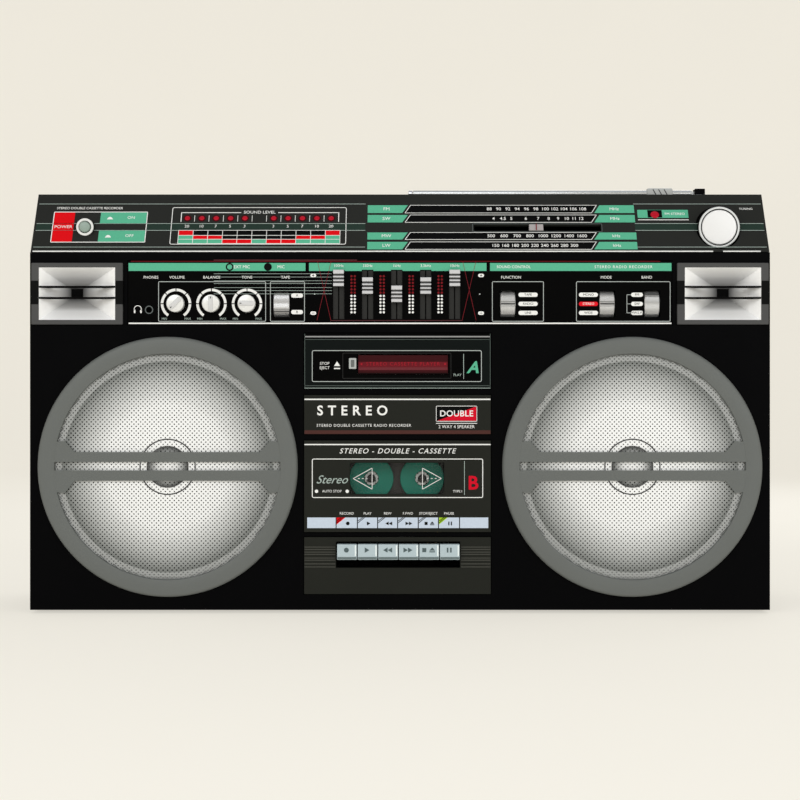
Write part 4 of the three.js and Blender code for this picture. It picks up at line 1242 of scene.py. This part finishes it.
def piano_key(name, outlines):
    """A square-edged key with a painted highlight on its right shoulder and painted shade on its lower lip.
    """
    x0, x1, y0 = span(name)[:3]
    soften(name, name, "key_plastic", key_pale, 0.35, least=1.5)
    # the face leans back from its lower edge to its upper one
    p = Print(name, lambda u, v, d: (u, y0 + d + 0.8 * (v - 40) / 10.1, v), name, "key_plastic")
    # painted highlight on the right shoulder, painted shade on the lower lip
    p.bar(key_painted_highlight, x1 - 1.5, x1 - 0.45, 41.4, 49.4)
    p.bar(key_painted_shade, x0 + 0.35, x1 - 0.35, 39.0, 40.6)
    key_symbol(p, symbol_grey, outlines, (x0 + x1) / 2 - 0.4, 45.8, FIRM, 1.5)
    p.done()


for kind, (_, outlines) in KEYS.items():
    piano_key(f"key_{kind}", outlines)
well = Shape().prism(front(0), rect(-48.1, 45.2, 32.2, 51.6), 37.5, 38.0)
well.piece("key_well_back", FIXED, FASCIA, well_black)

# --- deck A flap and deck B drive


def flap():
    name = "deck_a_flap"
    soften(name, name, "red_plastic", flap_maroon, 0.3, least=2)
    x0, x1, y0 = span(name)[:3]
    p = Print("flap", front(y0), name, "red_plastic")
    p.bar(flap_band, x0 + 0.3, x1 - 0.3, 181.5, 187.8)
    p.bar(flap_light, x0 + 0.3, x1 - 0.3, 181.6, 183.6, lift=0.03)
    p.text(flap_line, "STEREO CASSETTE PLAYER", (x0 + x1) / 2, 186.1, 2.7, FIRM, spacing=1.25)
    for u in (x0 + 2.6, x1 - 2.2):
        p.dot(flap_line, u, 186.1, 0.8, FIRM)
    p.bar(black_ink, x0 + 0.3, x1 - 0.3, 178.9, 179.5)
    p.done()


def eject_pad():
    x0, x1, y0, _, z0, z1 = span("deck_a_eject_button")
    pad = Shape().prism(front(y0), rect(x0 + 1.5, x1 - 1.5, z0 + 1.4, z1 - 1.4), -0.15, 0.3)
    pad.piece("deck_a_eject_pad", "deck_a_eject_button", "grey_plastic", eject_dark)


def spindle(name):
    """Teal reel table behind a white splined hub."""
    x, _, z = middle(name)
    slot = "reel_plastic"
    table = [(5.6, 18.3), (16.4, 18.3), (16.9, 18.8), (16.9, 20.3), (16.5, 20.8), (5.6, 20.8)]
    lathe(f"{name}_table", name, slot, teal_reel, table, (x, 0, z), replaces=[name])
    hub = Shape().fluted(((3.3, 16.6), (5.0, 16.6), (5.3, 17.0), (5.45, 20.8), (3.3, 20.8)),
                         lambda r, y, c, s: (x + r * s, y, z + r * c), 96,
                         lambda k, r: 0.75 if k % 12 in (0, 1, 2) and r > 4 else 0, caps=0)
    hub.piece(f"{name}_hub", name, slot, hub_white)
    core = Shape().turned([(0.02, 12.6), (1.9, 12.6), (2.8, 14), (2.8, 20.5), (0.02, 20.5)], (x, 0, z), 48)
    for c, s in (turn(k / 3) for k in range(3)):
        fin = [(x + u * c + v * s, z - u * s + v * c) for u, v in rect(-0.5, 0.5, 2.2, 4.1)]
        core.prism(front(0), fin, 13.9, 18)
    core.piece(f"{name}_core", name, slot, hub_dark)
    lathe(f"{name}_shaft", name, slot, steel, rod(2.6, 20.4, 34), (x, 0, z), 32)


ARROW_V, DASHES = 99.5, 3


def window_print():
    """A triangle and three dashes beside each reel."""
    p = Print("window", front(span("deck_b_window")[2]), "deck_b_door", "window_plastic")
    for apex, base, direction in ((-35.4, -21.1, 1), (31.3, 17.0, -1)):
        corners = [(apex, ARROW_V), (base, 107.4), (base, 91.4)]
        for (a, b), (c, d) in zip(corners, corners[1:] + corners[:1]):
            p.line(white_ink, a, b, c, d, 0.45, lift=SUNK)
        for k in range(DASHES):
            u = apex + direction * (3.5 + 3.0 * k)
            p.line(white_ink, u, ARROW_V, u + direction * 1.5, ARROW_V, 0.4, lift=SUNK)
    p.done()


flap()
eject_pad()
spindle("supply_spindle")
spindle("takeup_spindle")
window_print()

# --- speakers

RING_OUTER, RING_INNER, RING_FRONT = 98.3, 85.2, -4.5
BARS = ((1, 3.8, 11.2), (-1, -2.6, -10.4))  # side, and the heights of the inner and the outer edge
BAR_END = 19.0
CONE_EDGE = 79.0
MESH_PITCH, MESH_HOLE, MESH_FRONT, MESH_BACK = 2.4, 0.6, -1.8, -1.1
DIAGONAL = 0.70710678


def perforated(radius):
    """A round sheet with a diagonal grid of eight-sided holes, about the origin."""
    shape = Shape()
    verts, layers = shape.mesh.verts, (MESH_FRONT, MESH_BACK)
    corners, partner = {}, {}

    def pair(u, v):
        """The points of both faces at one place of the grid."""
        both = [verts.new(((u - v) * DIAGONAL, y, (u + v) * DIAGONAL)) for y in layers]
        partner[both[0]] = both[1]
        return both

    def corner(i, j):
        if (i, j) not in corners:
            corners[i, j] = pair(i * MESH_PITCH / 2, j * MESH_PITCH / 2)
        return corners[i, j]

    reach = int(radius / MESH_PITCH) + 1
    for i in range(-reach, reach + 1):
        for j in range(-reach, reach + 1):
            u, v = i * MESH_PITCH, j * MESH_PITCH
            if math.hypot(u, v) + MESH_PITCH * 0.75 > radius:
                continue
            ring = [pair(u + MESH_HOLE * c, v + MESH_HOLE * s) for c, s in (turn(k / 8) for k in range(8))]
            square = [corner(2 * i + a, 2 * j + b) for a, b in
                      ((1, 0), (1, 1), (0, 1), (-1, 1), (-1, 0), (-1, -1), (0, -1), (1, -1))]
            for k in range(8):
                m = (k + 1) % 8
                for side in range(2):
                    quad = (ring[k][side], square[k][side], square[m][side], ring[m][side])
                    shape.mesh.faces.new(quad[::-1] if side else quad)
                shape.mesh.faces.new((ring[k][0], ring[m][0], ring[m][1], ring[k][1]))
    for edge in [e for e in shape.mesh.edges if len(e.link_faces) == 1]:
        a, b = edge.verts
        if a in partner and b in partner:
            shape.mesh.faces.new((a, b, partner[b], partner[a]))
    return shape


def bar_outline(side, inner, edge):
    """One cross bar: its ends follow the ring."""
    reach = RING_INNER + 1.5
    heights = [inner + (side * BAR_END - inner) * k / 6 for k in range(7)]
    half = [(math.sqrt(reach ** 2 - v ** 2), v) for v in heights] + [(77.2, side * 19.6), (70.0, edge)]
    return half + [(-u, v) for u, v in reversed(half)]


def grille(name, x, z):
    """Ring, two bars, perforated sheet, and the flat rings behind it."""
    slot, centre = "grille_metal", (x, 0, z)
    profile = [(RING_INNER, -0.3), (RING_INNER, RING_FRONT + 0.9), (RING_INNER + 0.3, RING_FRONT + 0.3),
               (RING_INNER + 1, RING_FRONT), (RING_OUTER - 2.6, RING_FRONT),
               (RING_OUTER - 1.2, RING_FRONT + 0.5), (RING_OUTER - 0.3, -2.6), (RING_OUTER, -1.6),
               (RING_OUTER, -0.3)]
    lathe(f"{name}_ring", FIXED, slot, ring_grey, profile, centre, 180, replaces=[name], smooth=40)
    bars = Shape()
    for bar in BARS:
        bars.prism(front(0), [(x + u, z + v) for u, v in bar_outline(*bar)], -4.15, -2.0)
    bars.piece(f"{name}_bars", FIXED, slot, ring_grey)
    mesh = perforated(RING_INNER + 1.2)
    for vertex in mesh.mesh.verts:
        vertex.co.x += x
        vertex.co.z += z
    # the mesh carries painted light and shade of the cone: light in the middle, darker towards the rim
    mesh.piece(f"{name}_mesh", FIXED, slot, mesh_painted_shade, smooth=10, origin=centre)
    gasket = rod(RING_INNER + 0.8, -0.7, -0.2, CONE_EDGE + 0.6)
    lathe(f"{name}_gasket", FIXED, slot, gasket_grey, gasket, centre, 120)
    edge = rod(CONE_EDGE + 0.5, -1.05, -0.2, CONE_EDGE - 0.7)
    lathe(f"{name}_edge", FIXED, slot, well_black, edge, centre, 120)


def cone(name, centre):
    """The moving cone: silver paper, a black ring, a domed cap; and the rolled rubber surround."""
    slot = "cone_paper"
    # the paper, its collar and the cap carry painted shade that darkens towards their rims
    paper = [(20, 33.2), (34, 27.0), (50, 19.7), (64, 13.4), (76, 8.1), (77, 8.1), (77, 9.4), (64, 15.0),
             (50, 21.4), (34, 28.8), (20, 35)]
    lathe(f"{name}_paper", name, slot, cone_painted_shade, paper, centre, 144, replaces=[name], origin=centre,
          smooth=60)
    ring = [(20.4, 32.2), (21.4, 31.8), (21.4, 33.4), (20.4, 33.6)]
    lathe(f"{name}_ring", name, slot, well_black, ring, centre)
    collar = [(15.8, 31.5), (20.6, 32.8), (20.6, 34.6), (15.8, 34.0)]
    lathe(f"{name}_collar", name, slot, cone_painted_shade, collar, centre, origin=centre)
    dome = [(0.02, 26.6), (4, 26.85), (8, 27.6), (12, 29.0), (15, 31.0), (16.2, 32.4), (16.2, 33.6),
            (0.02, 33.6)]
    lathe(f"{name}_cap", name, slot, cap_painted_shade, dome, centre, origin=centre, smooth=60)
    roll = [(79.2 - 2.8 * c, 8.6 - 2.2 * s) for c, s in (turn(k / 16) for k in range(9))]
    lathe(f"{name}_surround", FIXED, slot, surround_rubber, roll + [(82.0, 9.4), (76.4, 9.4)], centre, 120)


for side in ("left", "right"):
    x, _, z = middle(f"speaker_grille_{side}")
    grille(f"speaker_grille_{side}", x, z)
    cone(f"woofer_cone_{side}", (x, 0, z))

# --- tweeter horns

MOUTH, THROAT = (57.5 / 2, 39.5 / 2), (8.7 / 2, 7.4 / 2)  # half width and half height
THROAT_SHIFT = (4.2, 1.2)  # the throat sits a little further out and up than the mouth
HORN_BEZEL = (69.1 / 2, 46.6 / 2)
MOUTH_Y = -1.9
HORN_LENGTH = HORN_DEPTH - MOUTH_Y
HORN_WALL, HORN_STEPS = 0.9, 10
VANE_DEPTH = 6.0
VANE_Z = (244.45, 236.05)
INSERT_Z = (231.2, 249.0)


def horn(name, outward):
    slot = "horn_chrome"
    x, _, z = middle(name)
    half_w, half_h = MOUTH
    rim = [(*HORN_BEZEL, 0.8, -0.3), (*HORN_BEZEL, 0.8, -1.7),
           (HORN_BEZEL[0] - 0.4, HORN_BEZEL[1] - 0.4, 0.5, -2.2), (half_w + 0.2, half_h + 0.2, 0.3, -2.2),
           (half_w + 0.05, half_h + 0.05, 0.2, -2.0), (half_w + 0.05, half_h + 0.05, 0.2, -0.3)]
    rings = [[(u, y, v) for u, v in rounded(x - w, x + w, z - h, z + h, r, 4)] for w, h, r, y in rim]
    Shape().loft(rings, caps=0).piece(f"{name}_bezel", FIXED, slot, bezel_grey, replaces=[name])

    def flare(y):
        """Half width, half height and middle of the horn at a depth."""
        t = (y - MOUTH_Y) / HORN_LENGTH
        return (half_w + (THROAT[0] - half_w) * t, half_h + (THROAT[1] - half_h) * t,
                x + outward * THROAT_SHIFT[0] * t, z + THROAT_SHIFT[1] * t)

    def wall(sign, y, sideways):
        w, h, u, v = flare(y)
        if sideways:
            return rect(u + sign * w, u + sign * (w + HORN_WALL), v - h, v + h)
        return rect(u - w, u + w, v + sign * h, v + sign * (h + HORN_WALL))

    depths = [MOUTH_Y + HORN_LENGTH * k / HORN_STEPS for k in range(HORN_STEPS + 1)]
    # the horn walls carry painted shade towards the throat
    for part, material, sideways in (("cheeks", horn_sides_painted_shade, True), ("lips", horn_ends_painted_shade, False)):
        shape = Shape()
        for sign in (-1, 1):
            shape.loft([[(u, y, v) for u, v in wall(sign, y, sideways)] for y in depths])
        shape.piece(f"{name}_{part}", FIXED, slot, material, origin=(x, 0, z))
    w, h, u, v = flare(HORN_DEPTH)
    throat = rect(u - w - 1, u + w + 1, v - h - 1, v + h + 1)
    Shape().prism(front(HORN_DEPTH), throat, -0.2, 1).piece(f"{name}_throat", FIXED, slot, well_black)
    back = HORN_DEPTH + 20
    driver = [(0.02, back - 19), (15, back - 19), (16, back - 18), (16, back - 2), (14.5, back),
              (0.02, back)]
    lathe(f"{name}_driver", FIXED, slot, steel, driver, (x, 0, z), 72)
    vanes = Shape()
    for v in VANE_Z:
        rows = []
        for y, half in ((MOUTH_Y, 0.65), (-1.4, 0.75), (VANE_DEPTH - 0.8, 0.6), (VANE_DEPTH, 0.3)):
            w, _, u, _ = flare(y)
            rows.append([(a, y, b) for a, b in rect(u - w - 0.3, u + w + 0.3, v - half, v + half)])
        vanes.loft(rows)
    vanes.piece(f"{name}_vanes", FIXED, slot, well_black)
    inserts = Shape()
    for sign in (-1, 1):
        near, far = sorted((x + sign * (half_w + 0.3), x + sign * (HORN_BEZEL[0] + 0.1)))
        inserts.prism(front(-2.2), rect(near, far, *INSERT_Z), -0.12, 1.9)
    inserts.piece(f"{name}_inserts", FIXED, slot, insert_dark)


horn("tweeter_horn_left", -1)
horn("tweeter_horn_right", 1)

# --- antenna

MAST_Z = 322.0


def antenna():
    slot = "antenna_chrome"
    x, y, _ = middle("antenna_pivot")
    z = MAST_Z
    soften("antenna_pivot", "antenna_pivot", CASE, case_black, 0.5, least=1.5, segments=3)
    # places along the mast count from the pivot and grow to the right
    end = span("antenna_mast")[0] - x
    tip = span("antenna_rod")[0] - x
    tube = [(1.75, end), (2.3, end), (2.5, end + 0.4), (2.5, -6.2), (2.1, -5.9), (0.05, -5.9), (0.05, -36),
            (1.75, -38)]
    lathe("antenna_tube", "antenna_mast", slot, mast_metal, tube, (x, y, z), 64, "X",
          replaces=["antenna_mast"])
    tongue = Shape().prism(front(y), rect(x - 7, x, z - 1.6, z + 1.6), -1.6, 1.6)
    tongue.turned([(0.05, y - 1.6), (2.2, y - 1.6), (2.5, y - 1.3), (2.5, y + 1.3), (2.2, y + 1.6),
                   (0.05, y + 1.6)], (x, 0, z), 48)
    tongue.piece("antenna_tongue", "antenna_mast", slot, steel)
    rows = []
    for along, cut in ((-41.4, 1.0), (-40.6, 0), (-22.2, 0), (-21.4, 1.0)):
        outline = rounded(y - 4 + cut / 2, y + 4 - cut / 2, z - 2.5 + cut / 4, z + 4 - cut / 2, 1.4, 4)
        rows.append([(x + along, a, b) for a, b in outline])
    Shape().loft(rows).piece("antenna_grip", "antenna_mast", slot, collar_grey)
    ribs = Shape()
    for k in range(3):
        u = x - 36 + k * 4.4
        ribs.prism(front(y - 4), stroke(u + 1.8, z - 1.8, u - 1.0, z + 3.0, 0.7), -0.1, 0.4)
    ribs.piece("antenna_grip_ribs", "antenna_mast", slot, groove_dark)
    inner = [(0.05, end - 1), (1.4, end - 1), (1.4, -43), (0.05, -42)]
    lathe("antenna_rod_tube", "antenna_rod", slot, chrome, inner, (x, y, z), 40, "X",
          replaces=["antenna_rod"])
    knob = [(0.05, tip), (1.6, tip), (2.3, tip + 0.5), (2.5, tip + 1.2), (2.5, end - 0.5), (0.05, end - 0.4)]
    lathe("antenna_tip", "antenna_rod", slot, chrome, knob, (x, y, z), 48, "X")


antenna()

# --- back and underside

INLET_X = 212


def rear_details():
    screws = Shape()
    # black marks on the screw heads: painted shade of the slots, which are not cut
    slot_shade = Shape()
    head = [(0.02, DEPTH - 0.9), (1.9, DEPTH - 1.0), (2.7, DEPTH - 1.9), (2.7, DEPTH - 3.4),
            (0.02, DEPTH - 3.4)]
    for x, z in ((-268, 6.4), (268, 6.4), (-255, 311.7), (255, 311.7)):
        screws.turned(head, (x, 0, z), 36)
        for a, b in ((1.5, 0.28), (0.28, 1.5)):
            slot_shade.prism(behind, rect(x - a, x + a, z - b, z + b), 0.8, 1.3)
    screws.piece("back_screws", FIXED, CASE, steel)
    slot_shade.piece("back_screw_slot_shade", FIXED, CASE, well_black)
    p = Print("rating", behind, FIXED, CASE)
    p.fill(grey_ink, rounded(150, 196, 30, 62, 1))
    for row, words in enumerate(("STEREO RADIO", "CASSETTE RECORDER", "AC 220V 50Hz 20W", "DC 12V")):
        p.text(black_ink, words, 173, 56.5 - 6.4 * row, 2.9, FIRM, mirrored(173))
    p.text(white_ink, "AC IN", INLET_X, 43.5, 3.0, plane=mirrored(INLET_X))
    p.done()
    p = Print("battery_lid", behind, "battery_door", CASE)
    p.text(dim_ink, "8 x R20 (D)", 0, 60, 5, plane=mirrored(0))
    for k in range(9):
        z = 22 + 3.2 * k
        p.bar(well_black, -110, 110, z, z + 0.7, lift=SUNK)
    p.done()
    pins = Shape()
    pin = [(0.02, 140.6), (0.7, 140.6), (1.15, 141.2), (1.15, 148.6), (0.8, 149.2), (0.02, 149.2)]
    for dx in (-4, 4):
        pins.turned(pin, (INLET_X + dx, 0, 30), 24)
    pins.piece("inlet_pins", FIXED, CASE, brass)


rear_details()
